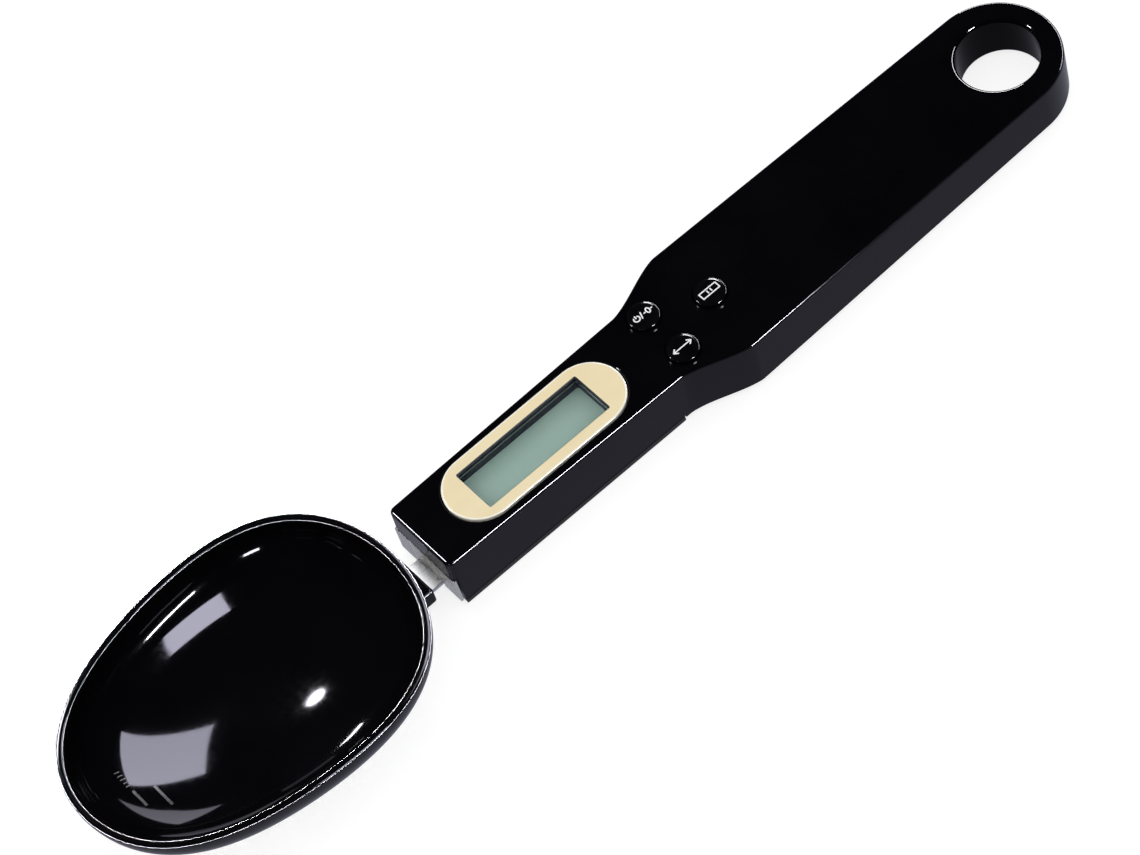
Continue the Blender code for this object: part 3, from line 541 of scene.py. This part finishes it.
def upper_casing():
    """The deep glossy shell with its front brow, display pocket, key dishes and hanging hole."""
    shell = on_deck(slab("top_casing_fine", handle_outline,
                         [(0.0, -30.0), *round_over(EDGE_RADIUS, 0.0)]))
    cavity = on_deck(slab("cavity", lambda inset: handle_outline(inset, BROW_BACK_X - WALL),
                          ((WALL, -31.0), (WALL, -ROOF))))
    cut(cavity, turned("collar", ((HOLE_RADIUS + COLLAR, -20.0), (HOLE_RADIUS + COLLAR, 40.0)),
                       (HOLE_X, 0.0)))
    cut(shell, cavity)
    cut(shell, block("rebate", (-60.0, -40.0, -40.0), (REBATE_X, 40.0, BROW_Z)))
    cut(shell, block("mouth", (REBATE_X - 0.1, -MOUTH_HALF, -40.0),
                     (CASING_FRONT_X + 4.0, MOUTH_HALF, BROW_Z - 0.4)))
    foot = slab("foot", lambda inset: handle_outline(inset, CASING_FRONT_X - 8.0),
                ((0.35, SKIRT_WIDE_Z), (-0.05, SKIRT_WIDE_Z + 0.4), (-0.05, 40.0)))
    combine(shell, [foot], "INTERSECT")
    cut(shell, block("step", (-150.0, -40.0, -40.0), (STEP_X, 40.0, SKIRT_NARROW_Z)))
    cut(shell, loft("bore", bore_rings()))
    pocket = slab("pocket", lambda inset: stadium(*BEZEL_X, BEZEL_RADIUS + 0.25 - inset),
                  ((0.0, -0.9), (0.0, -0.16), (-0.08, -0.06), (-0.2, 0.02), (-0.2, 3.0)))
    opening = slab("opening", lambda inset: rounded_rectangle(WINDOW_X[0] - 0.3, WINDOW_X[1] + 0.3,
                                                              WINDOW_HALF + 0.3, 0.5),
                   ((0.0, -ROOF - 1.0), (0.0, 0.5)))
    cut(shell, on_deck(pocket), on_deck(opening))
    for key in KEYS:
        centre = deck_place(key + "_button")
        cut(shell, on_deck(turned("dish", dish_profile(), centre)))
    for node in CASE_SCREWS:
        centre = middle(node)
        post = turned("post", ((POST_RADIUS, PLATE + GAP), (POST_RADIUS, deck_z(centre.x) - ROOF + 0.4)),
                      (centre.x, centre.y), sides=32)
        join(shell, post)
        cut(shell, turned("pilot", ((PILOT_RADIUS, -1.0), (PILOT_RADIUS, 9.5)), (centre.x, centre.y),
                          sides=24))
    shade(shell)
    paint(shell, BLACK_GLOSS, BLACK_BORE)
    for face in shell.data.polygons:
        x, y, _ = face.center / MM
        if math.hypot(x - HOLE_X, y) < HOLE_RADIUS + 0.1:
            face.material_index = 1
    place(shell, "handle", "black_gloss", "top_casing")


def lower_casing():
    """The thin cover: flush under the narrow front, set inside the skirt of the grip."""
    inside = WALL + GAP
    plate = slab("bottom_casing_fine", lambda inset: handle_outline(inside + inset, STEP_X - 4.0),
                 [*round_under(0.25, UNION_STEP, 4), (0.0, PLATE)])
    front = PLATE_LOW.x

    def tongue_outline(inset):
        return ((front + inset, half_width(front) - 0.05 - inset),
                (STEP_X - GAP, half_width(STEP_X) - 0.05 - inset),
                (STEP_X - GAP, -half_width(STEP_X) + 0.05 + inset),
                (front + inset, -half_width(front) + 0.05 + inset))
    tongue = slab("tongue", tongue_outline, [*round_under(0.3, 0.0, 4), (0.0, PLATE - UNION_STEP)])
    bay = turned("bay", ((BAY_RADIUS, 0.3), (BAY_RADIUS, PLATE_HIGH.z)), (BATTERY.x, 0.0))
    saddle = block("saddle", (-4.0, -5.0, 0.7), (9.0, 5.0, 3.2))
    join(plate, tongue, bay, saddle)
    recess = CAP_RADIUS + GAP
    cut(plate, turned("recess", ((recess + 0.27, -1.0), (recess + 0.27, -0.02), (recess, 0.25),
                                 (recess, 1.5)), (BATTERY.x, 0.0)),
        turned("throat", ((BAY_THROAT, 1.0), (BAY_THROAT, 3.0)), (BATTERY.x, 0.0)),
        turned("room", ((BAY_ROOM, 2.4), (BAY_ROOM, 9.0)), (BATTERY.x, 0.0)))
    room = HOLE_RADIUS + COLLAR + GAP
    cut(plate, turned("collar_room", ((room + 0.2, -1.0), (room + 0.2, -0.02), (room, 0.2), (room, 5.0)),
                      (HOLE_X, 0.0)))
    for node in CASE_SCREWS + CELL_SCREWS:
        centre = middle(node)
        cut(plate, turned("seat", ((SEAT_RADIUS, -1.0), (SEAT_RADIUS, 0.2), (SHANK_HOLE, 1.25),
                                   (SHANK_HOLE, 6.0)), (centre.x, centre.y), sides=40))
    cut(plate, turned("relief", ((9.0, -1.0), (9.0, 5.0)), (PLATE_LOW.x - 7.6, 0.0)))
    shade(plate)
    paint(plate, BLACK_SATIN)
    place(plate, "handle", "black_gloss", "bottom_casing")


# ---------------------------------------------------------------- display and keys

def display():
    """The cream plate with its rolled edge painted paler as a highlight, and the dark well and glass below
    it.
    """
    top = BEZEL_PROUD
    face = top - 0.05
    plate = slab("display_bezel_fine", lambda inset: stadium(*BEZEL_X, BEZEL_RADIUS - inset),
                 [(0.0, top - BEZEL_THICK), *round_over(0.22, top, 6), (0.3, top), (0.36, face),
                  (1.2, face)])
    window = slab("window", lambda inset: rounded_rectangle(WINDOW_X[0] + inset, WINDOW_X[1] - inset,
                                                            WINDOW_HALF - inset, 0.4),
                  ((0.0, -4.0), (0.0, face - 0.12), (-0.12, face), (-0.18, 4.0)))
    cut(plate, window)
    paint(plate, CREAM, CREAM_EDGE_HIGHLIGHT, WELL)
    # Faces on the outer bead get the paler cream, a painted highlight; faces below the top face get the
    # well's blue-grey
    bead = BEZEL_RADIUS - 0.35
    for face_of in plate.data.polygons:
        x, y, z = face_of.center / MM
        along = x - min(max(x, BEZEL_X[0]), BEZEL_X[1])
        if math.hypot(along, y) > bead:
            face_of.material_index = 1
        elif z < face - 0.02:
            face_of.material_index = 2
    shade(on_deck(plate))
    place(plate, "handle", "cream_bezel", "display_bezel")

    def ring_of(inset):
        return rounded_rectangle(WINDOW_X[0] - inset, WINDOW_X[1] + inset, WINDOW_HALF + inset, 0.5)
    frame_piece = slab("lcd_frame_fine", ring_of, ((1.4, LCD_TOP + 0.05), (1.4, WELL_TOP)))
    cut(frame_piece, slab("opening", ring_of, ((0.0, -9.0), (0.0, 4.0))))
    shade(on_deck(frame_piece))
    paint(frame_piece, WELL)
    place(frame_piece, "handle", "black_inner", "lcd_frame")
    glass = slab("lcd_glass_fine", ring_of, ((0.9, LCD_LOW), (0.9, LCD_TOP - 0.1), (0.8, LCD_TOP)))
    shade(on_deck(glass))
    paint(glass, LCD)
    place(glass, "handle", "lcd", "lcd_glass")


def cap_z(radius):
    """Height of a key's top in deck axes: nearly flat, and falling off towards its edge."""
    return KEY_DOME - KEY_DROP * (radius / KEY_RADIUS) ** 8


def ribbon(points, width):
    """The two edges of a flat stroke along 2-D points."""
    left = []
    right = []
    for i, point in enumerate(points):
        ahead = (points[min(i + 1, len(points) - 1)] - points[max(i - 1, 0)]).normalized()
        across = Vector((-ahead.y, ahead.x)) * width / 2
        left.append(point + across)
        right.append(point - across)
    return left, right


def arc(radius, start, end, centre=(0.0, 0.0), steps=28):
    """2-D points along an arc, its angles in degrees."""
    turns = [math.radians(start + (end - start) * step / steps) for step in range(steps + 1)]
    return [(centre[0] + radius * math.cos(turn), centre[1] + radius * math.sin(turn))
            for turn in turns]


def stroke_points(points, step=0.12):
    """Straight strokes cut into short steps, so that they can follow a dome."""
    fine = [Vector(points[0])]
    for a, b in zip(points, points[1:]):
        a, b = Vector(a), Vector(b)
        count = max(1, round((b - a).length / step))
        fine += [a.lerp(b, number / count) for number in range(1, count + 1)]
    return fine


def oval(reach_x, reach_y, centre=(0.0, 0.0)):
    return [(centre[0] + reach_x * x, centre[1] + reach_y * y) for x, y in arc(1.0, 0, 360, steps=40)]


# Plain symbols: power and tare, change over, and hold
KEY_MARKS = {
    "on_off": [arc(0.62, 125, 415, (-1.5, 0.0)), [(-1.5, 0.1), (-1.5, 0.85)],
               [(-0.62, -0.75), (-0.1, 0.75)], oval(0.36, 0.62, (1.25, 0.0)),
               [(0.2, 0.0), (0.68, 0.0)], [(2.3, 0.0), (1.82, 0.0)]],
    "mode": [[(-2.1, 0.0), (2.1, 0.0)], [(-1.4, 0.65), (-2.15, 0.0), (-1.4, -0.65)],
             [(1.4, 0.65), (2.15, 0.0), (1.4, -0.65)]],
    "hold": [[(-2.0, 0.72), (2.0, 0.72), (2.0, -0.72), (-2.0, -0.72), (-2.0, 0.85)],
             [(-0.4, 0.4), (-0.4, -0.4)], [(0.4, 0.4), (0.4, -0.4)]],
}


def strokes(name, lines, width, proud, height_at, centre=(0.0, 0.0)):
    """Raised strokes along 2-D lines, lying on a surface of the given height."""
    body = bmesh.new()
    root = 0.08
    for points in lines:
        left, right = ribbon(stroke_points(points), width)
        rows = []
        for a, b in zip(left, right):
            row = []
            for corner, lift in ((a, proud), (b, proud), (b, -root), (a, -root)):
                height = height_at(corner) + lift
                place_of = Vector((centre[0] + corner.x, centre[1] + corner.y, height))
                row.append(body.verts.new(place_of * MM))
            rows.append(row)
        for row, following in zip(rows, rows[1:]):
            for i in range(4):
                j = (i + 1) % 4
                body.faces.new((row[i], row[j], following[j], following[i]))
        body.faces.new(list(reversed(rows[0])))
        body.faces.new(rows[-1])
    bmesh.ops.recalc_face_normals(body, faces=body.faces)
    return mesh_object(name, body)


def key_marks(key, centre):
    made = on_deck(strokes(key + "_mark", KEY_MARKS[key], 0.27, 0.02, lambda at: cap_z(at.length),
                           centre))
    paint(made, LEGEND)
    place(made, key + "_key", "white_plastic")


def keys():
    for key in KEYS:
        centre = deck_place(key + "_button")
        edge = 0.3
        flat = KEY_RADIUS - edge
        rings = 24
        profile = [(AXIS_RADIUS, cap_z(0.0))]
        profile += [(ring / rings * flat, cap_z(ring / rings * flat)) for ring in range(1, rings + 1)]
        for step in range(1, 9):
            angle = math.pi / 2 * step / 8
            profile.append((flat + edge * math.sin(angle), cap_z(flat) - edge * (1 - math.cos(angle))))
        flange = KEY_RADIUS + KEY_FLANGE
        profile += [(KEY_RADIUS, -1.8), (flange, -1.8), (flange, -2.3), (AXIS_RADIUS, -2.3)]
        cap = on_deck(turned(key + "_button_fine", profile, centre))
        shade(cap)
        paint(cap, KEY_GLOSS)
        place(cap, key + "_key", "black_gloss", key + "_button")
        key_marks(key, centre)


# ---------------------------------------------------------------- spoon, shield and arm

def egg_point(angle, scale=1.0, shrink=0.0):
    """A point on the egg-shaped rim, drawn in by shrink and scaled about its centre."""
    c = math.cos(angle)
    s = math.sin(angle)
    x = (BOWL_LENGTH - shrink) * c
    y = (BOWL_WIDTH - shrink) * s * (1 + EGG[0] * c + EGG[1] * c * c)
    return BOWL_X + x * scale, y * scale


def bowl_ring(shrink, scale, z):
    return [(*egg_point(turn, scale, shrink), z) for turn in ring_angles(BOWL_SIDES)]


def bowl_wall(shrink, depth, edge, rings=44):
    """Rings of one wall of the bowl, bottom to top, ending in a small round edge at the rim."""
    made = []
    for step in range(rings):
        angle = math.pi / 2 * (1 - (step + 0.15) / rings)
        scale = math.cos(angle) ** (2 / BOWL_POWER)
        z = RIM_Z - depth * math.sin(angle) ** (2 / BOWL_POWER)
        if z > RIM_Z - abs(edge) - 0.15:
            break
        made.append(bowl_ring(shrink, scale, z))
    for step in range(EDGE_STEPS + 1):
        angle = math.pi / 2 * step / EDGE_STEPS
        made.append(bowl_ring(shrink + edge * (1 - math.cos(angle)), 1.0,
                              RIM_Z - abs(edge) * (1 - math.sin(angle))))
    return made


def bowl():
    """The egg-shaped bowl with its flat rim, and the lug that takes the arm."""
    depth = RIM_Z - BOWL_BOTTOM
    outer = bowl_wall(0.0, depth, 0.45)
    inner = bowl_wall(RIM_FLAT, depth - BOWL_WALL, -0.35)
    spoon = loft("spoon_fine", outer + list(reversed(inner)))
    lug = slab("lug", lambda inset: rounded_rectangle(-62.0 + inset, -42.6 - inset, 4.8 - inset, 0.5),
               [*round_under(0.3, 1.3, 3), *round_over(0.4, 5.0, 4)])
    hollow = loft("hollow", [*inner[:-EDGE_STEPS], bowl_ring(RIM_FLAT, 1.0, RIM_Z + 5.0)])
    cut(lug, hollow)
    join(spoon, lug)
    arm_low, arm_high = span("spoon_arm")
    cut(spoon, block("slot", (arm_low.x - 0.5, arm_low.y - GAP, arm_low.z - GAP),
                     (-37.0, arm_high.y + GAP, arm_high.z + GAP)))
    for node in SPOON_SCREWS:
        centre = middle(node)
        cut(spoon, turned("seat", ((2.0, 0.0), (1.8, 1.5), (1.2, 1.9), (1.2, 4.6)),
                          (centre.x, centre.y), sides=32))
    shade(spoon)
    paint(spoon, BLACK_GLOSS)
    place(spoon, "weighing_spoon", "black_gloss", "spoon")


def bowl_floor(at):
    """Height of the bowl's inner surface over a point in plan."""
    along = (at.x - BOWL_X) / (BOWL_LENGTH - RIM_FLAT)
    aside = at.y / (BOWL_WIDTH - RIM_FLAT)
    swell = 1.0
    for _ in range(12):
        turn = math.atan2(aside / swell, along)
        swell = 1 + EGG[0] * math.cos(turn) + EGG[1] * math.cos(turn) ** 2
    share = min(math.hypot(along, aside / swell), 1.0)
    depth = RIM_Z - BOWL_BOTTOM - BOWL_WALL
    return RIM_Z - depth * (1 - share ** BOWL_POWER) ** (1 / BOWL_POWER)


def bowl_marks():
    """Two short level marks inside the tip of the bowl, and a row of plain ticks beside them."""
    bars = [[(-108.3, 3.4), (-108.3, -0.8)], [(-104.7, 2.1), (-104.7, -3.5)]]
    made = strokes("bowl_marks", bars, 0.55, 0.12, bowl_floor)
    shade(made)
    paint(made, BLACK_SATIN)
    place(made, "weighing_spoon", "black_gloss")
    ticks = [[(-108.75, 4.8 + 0.85 * number), (-107.7, 4.8 + 0.85 * number)] for number in range(5)]
    made = strokes("bowl_ticks", ticks, 0.24, 0.08, bowl_floor)
    shade(made)
    paint(made, BLACK_SATIN)
    place(made, "weighing_spoon", "black_gloss")


def shield_outline(inset):
    """The shield seen from the front: round corners above, a notch for the arm below."""
    high = SHIELD_HIGH.z - inset
    low = SHIELD_LOW.z + inset
    half = SHIELD_HIGH.y - inset
    arm_high = span("spoon_arm")[1]
    notch_half = arm_high.y + GAP + inset
    notch_z = arm_high.z + GAP + inset
    side = [(half, low)]
    for step in range(CORNER_STEPS + 1):
        angle = math.pi / 2 * step / CORNER_STEPS
        side.append((half - SHIELD_CORNER + SHIELD_CORNER * math.cos(angle),
                     high - SHIELD_CORNER + SHIELD_CORNER * math.sin(angle)))
    other = [(-y, z) for y, z in reversed(side)]
    return side + other + [(-notch_half, low), (-notch_half, notch_z), (notch_half, notch_z),
                           (notch_half, low)]


def shield():
    """The brushed face below the brow, with a pad behind it that meets the load cell."""
    front = SHIELD_LOW.x
    edge = 0.16
    profile = [(0.0, front + SHIELD_THICK)]
    for step in range(6):
        angle = math.pi / 2 * step / 5
        profile.append((edge * (1 - math.cos(angle)), front + edge * (1 - math.sin(angle))))
    made = loft("front_shield_fine", [[(x, y, z) for y, z in shield_outline(inset)]
                                      for inset, x in profile])
    join(made, block("pad", (front + 0.2, *PAD_LOW), (SHIELD_HIGH.x, *PAD_HIGH)))
    shade(made)
    paint(made, STEEL_UPRIGHT)
    place(made, "weighing_spoon", "bright_steel", "front_shield")


def arm_bar():
    low, high = span("spoon_arm")
    edge = 0.15
    arm = slab("spoon_arm_fine", lambda inset: ((low.x, low.y + inset), (high.x, low.y + inset),
                                                (high.x, high.y - inset), (low.x, high.y - inset)),
               [*round_under(edge, low.z, 3), *round_over(edge, high.z, 3)])
    for node in SPOON_SCREWS:
        centre = middle(node)
        cut(arm, turned("hole", ((1.2, 0.0), (1.2, 6.0)), (centre.x, 0.0), sides=32))
    for node in ("arm_screw_1", "arm_screw_2"):
        centre = middle(node)
        cut(arm, turned("seat", ((1.9, 0.0), (1.9, low.z - 0.05), (1.2, low.z + 0.7), (1.2, 6.0)),
                        (centre.x, 0.0), sides=32))
    shade(arm)
    paint(arm, STEEL)
    place(arm, "weighing_spoon", "bright_steel", "spoon_arm")


# ---------------------------------------------------------------- underside

def battery_lid():
    """The twist cap with a coin slot and a pointer."""
    neck = CAP_NECK
    cap = turned("battery_cap_fine",
                 [(0.02, 0.0)] + [(CAP_RADIUS - inset, z) for inset, z in round_under(0.35, 0.0, 5)]
                 + [(CAP_RADIUS, 1.2), (neck, 1.2), (neck, 3.5), (neck - 1.2, 3.5),
                    (neck - 1.2, 1.3), (0.02, 1.3)], (BATTERY.x, 0.0))
    lugs = []
    for number in range(3):
        lug = block("lug", (neck - 0.6, -1.9, 2.7), (CAP_RADIUS - 0.1, 1.9, 3.5))
        turn = Matrix.Rotation(2 * math.pi * number / 3, 4, "Z")
        lug.data.transform(Matrix.Translation((BATTERY.x * MM, 0.0, 0.0)) @ turn)
        lugs.append(lug)
    join(cap, *lugs)
    slot = slab("slot", lambda inset: stadium(BATTERY.x - 6.0, BATTERY.x + 6.0, 0.9 - inset),
                ((-0.25, -1.0), (-0.25, -0.05), (0.0, 0.2), (0.0, 0.7)))
    pointer = loft("pointer", [[(BATTERY.x + x, y, z) for x, y in ((8.2, -0.9), (9.8, 0.0), (8.2, 0.9))]
                               for z in (-1.0, 0.25)])
    cut(cap, slot, pointer)
    shade(cap)
    paint(cap, BLACK_SATIN)
    place(cap, "battery_door", "black_gloss", "battery_cap")


def fine_screw(node, body, head):
    """A countersunk screw with a cross recess, its head facing down."""
    low, high = span(node)
    centre = middle(node)
    profile = [(0.02, low.z + 0.03), (head - 0.35, low.z), (head - 0.12, low.z + 0.03),
               (head, low.z + 0.14), (0.9, low.z + 1.1), (0.9, high.z - 0.5), (0.5, high.z),
               (0.02, high.z)]
    made = turned(node + "_fine", profile, (centre.x, centre.y), sides=48)
    arm = 0.6 * head
    for reach_x, reach_y in ((arm, 0.22), (0.22, arm)):
        taper = slab("recess", lambda inset, rx=reach_x, ry=reach_y: (
            (centre.x - rx + inset, centre.y - ry + inset), (centre.x + rx - inset, centre.y - ry + inset),
            (centre.x + rx - inset, centre.y + ry - inset), (centre.x - rx + inset, centre.y + ry - inset)),
            ((-0.02, low.z - 0.5), (0.0, low.z), (0.1, low.z + 0.6)))
        cut(made, taper)
    shade(made)
    paint(made, SCREW_STEEL)
    place(made, body, "bright_steel", node)


def screws():
    for node in CASE_SCREWS + CELL_SCREWS:
        fine_screw(node, "handle", 2.0)
    for node in SPOON_SCREWS:
        fine_screw(node, "weighing_spoon", 1.5)


# ---------------------------------------------------------------- inner pieces

def paint_frame():
    """Finishes for the CAD pieces that stay as they are."""
    finishes = {
        "display_window": CLEAR, "contact_strip": RUBBER, "circuit_board": BOARD,
        "controller_chip": BLACK_INNER, "crystal": STEEL, "load_cell": ALUMINIUM,
        "strain_gauge_top": WHITE_PLASTIC, "strain_gauge_bottom": AMBER, "coin_cell": SCREW_STEEL,
        "battery_contact_negative": BRASS, "battery_contact_positive": BRASS,
        "arm_screw_1": SCREW_STEEL, "arm_screw_2": SCREW_STEEL,
    }
    for key in KEYS:
        finishes[key + "_switch"] = SWITCH_GREY
        finishes[key + "_plunger"] = WHITE_PLASTIC
    for name in frame["nodes"]:
        if "_wire_" in name:
            finishes[name] = WIRES[name.rsplit("_", 1)[1]]
    for name, finish in finishes.items():
        made = frame["nodes"][name]
        if not made.material_slots:
            made.data.materials.append(finish)
        for entry in made.material_slots:
            entry.material = finish


# ---------------------------------------------------------------- floor, light and camera

WHITE = (1.0, 1.0, 1.0)
LILAC = (0.92, 0.9, 1.0)
BAND_STEP = 5.0  # degrees
SPOON_PIECES = ("spoon_fine", "bowl_marks", "bowl_ticks")
CASING_PIECES = ("top_casing_fine", "display_bezel_fine", "on_off_button_fine", "mode_button_fine",
                 "hold_button_fine")
STEEL_PIECES = ("spoon_arm_fine", "front_shield_fine")


def floor():
    """A plain floor with a faint glow of its own, just below the object so that no faces coincide."""
    body = bmesh.new()
    reach = 6.0
    body.faces.new([body.verts.new((x * reach, y * reach, 0.0))
                    for x, y in ((-1, -1), (1, -1), (1, 1), (-1, 1))])
    made = mesh_object("studio_floor", body)
    made.location.z = -0.3 * MM
    paint(made, finish_of("studio_white", (0.3, 0.3, 0.3), (0.32, 0.32, 0.32), (0.8, 0.9),
                          cloud=3.0, grain=200.0, bump=0.0, Specular_IOR_Level=0.1,
                          Emission_Color=(1.0, 1.0, 1.0, 1.0), Emission_Strength=0.8))
    made.visible_glossy = False


def softbox(name, centre, aim, width, height, radiance, pieces, disk=False):
    """An area light of the given radiance, seen only in reflections and only by the named pieces."""
    data = bpy.data.lights.new(name, "AREA")
    data.shape = "ELLIPSE" if disk else "RECTANGLE"
    data.size = width * MM
    data.size_y = height * MM
    area = width * height * MM * MM * (math.pi / 4 if disk else 1.0)
    data.energy = radiance * math.pi * area
    made = new_object(name, data)
    back = (Vector(centre) - Vector(aim)).normalized()
    made.location = Vector(centre) * MM
    made.rotation_mode = "QUATERNION"
    made.rotation_quaternion = back.to_track_quat("Z", "Y")
    made.visible_camera = False
    made.visible_diffuse = False
    shine_on(made, pieces)


def direction(azimuth, elevation):
    """The unit vector towards an azimuth (from +X to +Y) and an elevation, in degrees."""
    azimuth, elevation = math.radians(azimuth), math.radians(elevation)
    return Vector((math.cos(elevation) * math.cos(azimuth), math.cos(elevation) * math.sin(azimuth),
                   math.sin(elevation)))


def shine_on(light, names):
    """Let a light fall on the named pieces only."""
    receivers = bpy.data.collections.new(light.name + "_receivers")
    for name in names:
        receivers.objects.link(bpy.data.objects[name])
    light.light_linking.receiver_collection = receivers


def glowing(name, colour, radiance):
    made = bpy.data.materials.new(name)
    made.use_nodes = True
    tree = made.node_tree
    tree.nodes.remove(tree.nodes["Principled BSDF"])
    glow = tree.nodes.new("ShaderNodeEmission")
    glow.inputs["Color"].default_value = (*colour, 1.0)
    glow.inputs["Strength"].default_value = radiance
    tree.links.new(glow.outputs["Emission"], tree.nodes["Material Output"].inputs["Surface"])
    return made


def lit_surface(name, rows, radiance, colour, pieces):
    """A lit sheet through rows of points, seen only in reflections and only by the named pieces."""
    body = bmesh.new()
    grid = [[body.verts.new(point * MM) for point in row] for row in rows]
    for row, following in zip(grid, grid[1:]):
        for i in range(len(row) - 1):
            body.faces.new((row[i], row[i + 1], following[i + 1], following[i]))
    made = mesh_object(name, body)
    paint(made, glowing(name + "_glow", colour, radiance))
    made.visible_camera = False
    made.visible_diffuse = False
    made.visible_shadow = False
    shine_on(made, pieces)


def panel(name, origin, reach, corners, radiance, colour):
    """A flat panel for the spoon, with corners in these directions from a point, in turn."""
    ways = [direction(*corner) for corner in corners]
    facing = sum(ways, Vector()).normalized()
    a, b, c, d = (Vector(origin) + way * reach / way.dot(facing) for way in ways)
    lit_surface(name, ((a, b), (d, c)), radiance, colour, SPOON_PIECES)


def band(name, centre, reach, azimuths, elevations, radiance, pieces):
    """An upright strip on an arc round a point, for fine lines along rounded edges."""
    start, end = azimuths
    steps = round((end - start) / BAND_STEP)
    turns = [start + (end - start) * step / steps for step in range(steps + 1)]
    rows = [[Vector(centre) + direction(turn, height) * reach / math.cos(math.radians(height))
             for turn in turns] for height in elevations]
    lit_surface(name, rows, radiance, WHITE, pieces)


def spoon_lights():
    """The window shapes, the lamp and the streaks in the bowl, and the fine lines of its rim."""
    panel("panel_side", (-78.2, 21.2, 8.1), 750.0, ((-70, 31), (-90, 42), (-88, 66), (-62, 54)), 25.0,
          LILAC)
    panel("panel_overhead", (-99.1, 5.7, 5.2), 800.0, ((-18, 49), (58, 64), (58, 49), (26, 39)), 17.0,
          LILAC)
    panel("panel_tip", (-105.4, -5.0, 6.4), 1300.0, ((26, 25), (50, 31), (65, 28), (54, 18)), 4.6,
          LILAC)
    panel("panel_streak", (-73.6, -18.2, 6.2), 1400.0, ((83, 15), (88, 19), (88.5, 17), (83.5, 13.5)),
          60.0, WHITE)
    softbox("lamp_round", (-71, 415, 563), (-71, -5, 3), 52, 40, 85.0, SPOON_PIECES, disk=True)
    softbox("strip_side", (520, -2400, 480), (0, 0, 0), 650, 110, 220.0, SPOON_PIECES)
    softbox("strip_front", (-690, -1312, 237), (-62, 22, 12), 280, 130, 70.0, SPOON_PIECES)
    band("rim_band", (BOWL_X, 0.0, RIM_Z), 420.0, (0, 360), (0.2, 3.2), 460.0, SPOON_PIECES)


def casing_lights():
    """The lines along the casing's edges, hole and end, and the sheen on the steel at its front."""
    softbox("strip_edge", (520, -2400, 480), (0, 0, 0), 650, 240, 330.0, CASING_PIECES)
    softbox("brow_overhead", (-590, 460, 560), (CASING_FRONT_X, 0, 14), 150, 110, 170.0, CASING_PIECES)
    band("end_band", (HOLE_X, 0.0, SHELL_HIGH.z), 500.0, (-28, 64), (3.0, 13.0), 45.0, CASING_PIECES)
    softbox("arm_overhead", (140, 400, 665), (-50, 0, 3), 420, 420, 3.0, STEEL_PIECES)


def soft_sun():
    """One very wide overhead light for all the diffuse light."""
    sun = bpy.data.lights.new("diffuse_fill", "SUN")
    sun.energy = 3.2
    sun.angle = math.radians(130.0)
    made = new_object("diffuse_fill", sun)
    made.rotation_euler = (math.radians(-8.0), math.radians(5.0), 0.0)
    made.visible_glossy = False


def world():
    """A dark studio over a grey-blue ground, which the floor hides from the camera."""
    made = bpy.data.worlds.new("studio_world")
    bpy.context.scene.world = made
    made.use_nodes = True
    tree = made.node_tree
    place_node = tree.nodes.new("ShaderNodeTexCoord")
    split = tree.nodes.new("ShaderNodeSeparateXYZ")
    tree.links.new(place_node.outputs["Generated"], split.inputs["Vector"])
    height = ramp_value(tree, split.outputs["Z"], 1.0, 0.0, -0.02, 0.02)
    tree.links.new(mix_colour(tree, height, (0.012, 0.012, 0.016), (0.32, 0.32, 0.39)),
                   tree.nodes["Background"].inputs["Color"])


def camera():
    """The photograph's viewpoint: high over the spoon's side, turned a little about its axis."""
    back = direction(-113.82, 56.08)
    roll = math.radians(-20.49)
    target = Vector((-0.777, 5.761, 0.0))
    distance = 938.877
    across = Vector((0.0, 0.0, 1.0)).cross(back).normalized()
    upward = back.cross(across)
    right = across * math.cos(roll) + upward * math.sin(roll)
    top = upward * math.cos(roll) - across * math.sin(roll)
    data = bpy.data.cameras.new("camera")
    data.sensor_width = 36.0
    data.lens = 157.9
    data.clip_end = 20.0
    made = new_object("camera", data)
    turn = Matrix((right, top, back)).transposed().to_4x4()
    made.matrix_world = Matrix.Translation((target + back * distance) * MM) @ turn
    bpy.context.scene.camera = made


upper_casing()
lower_casing()
display()
keys()
bowl()
bowl_marks()
shield()
arm_bar()
battery_lid()
screws()
paint_frame()
floor()
spoon_lights()
casing_lights()
soft_sun()
world()
camera()
bpy.context.scene.view_settings.view_transform = "Standard"
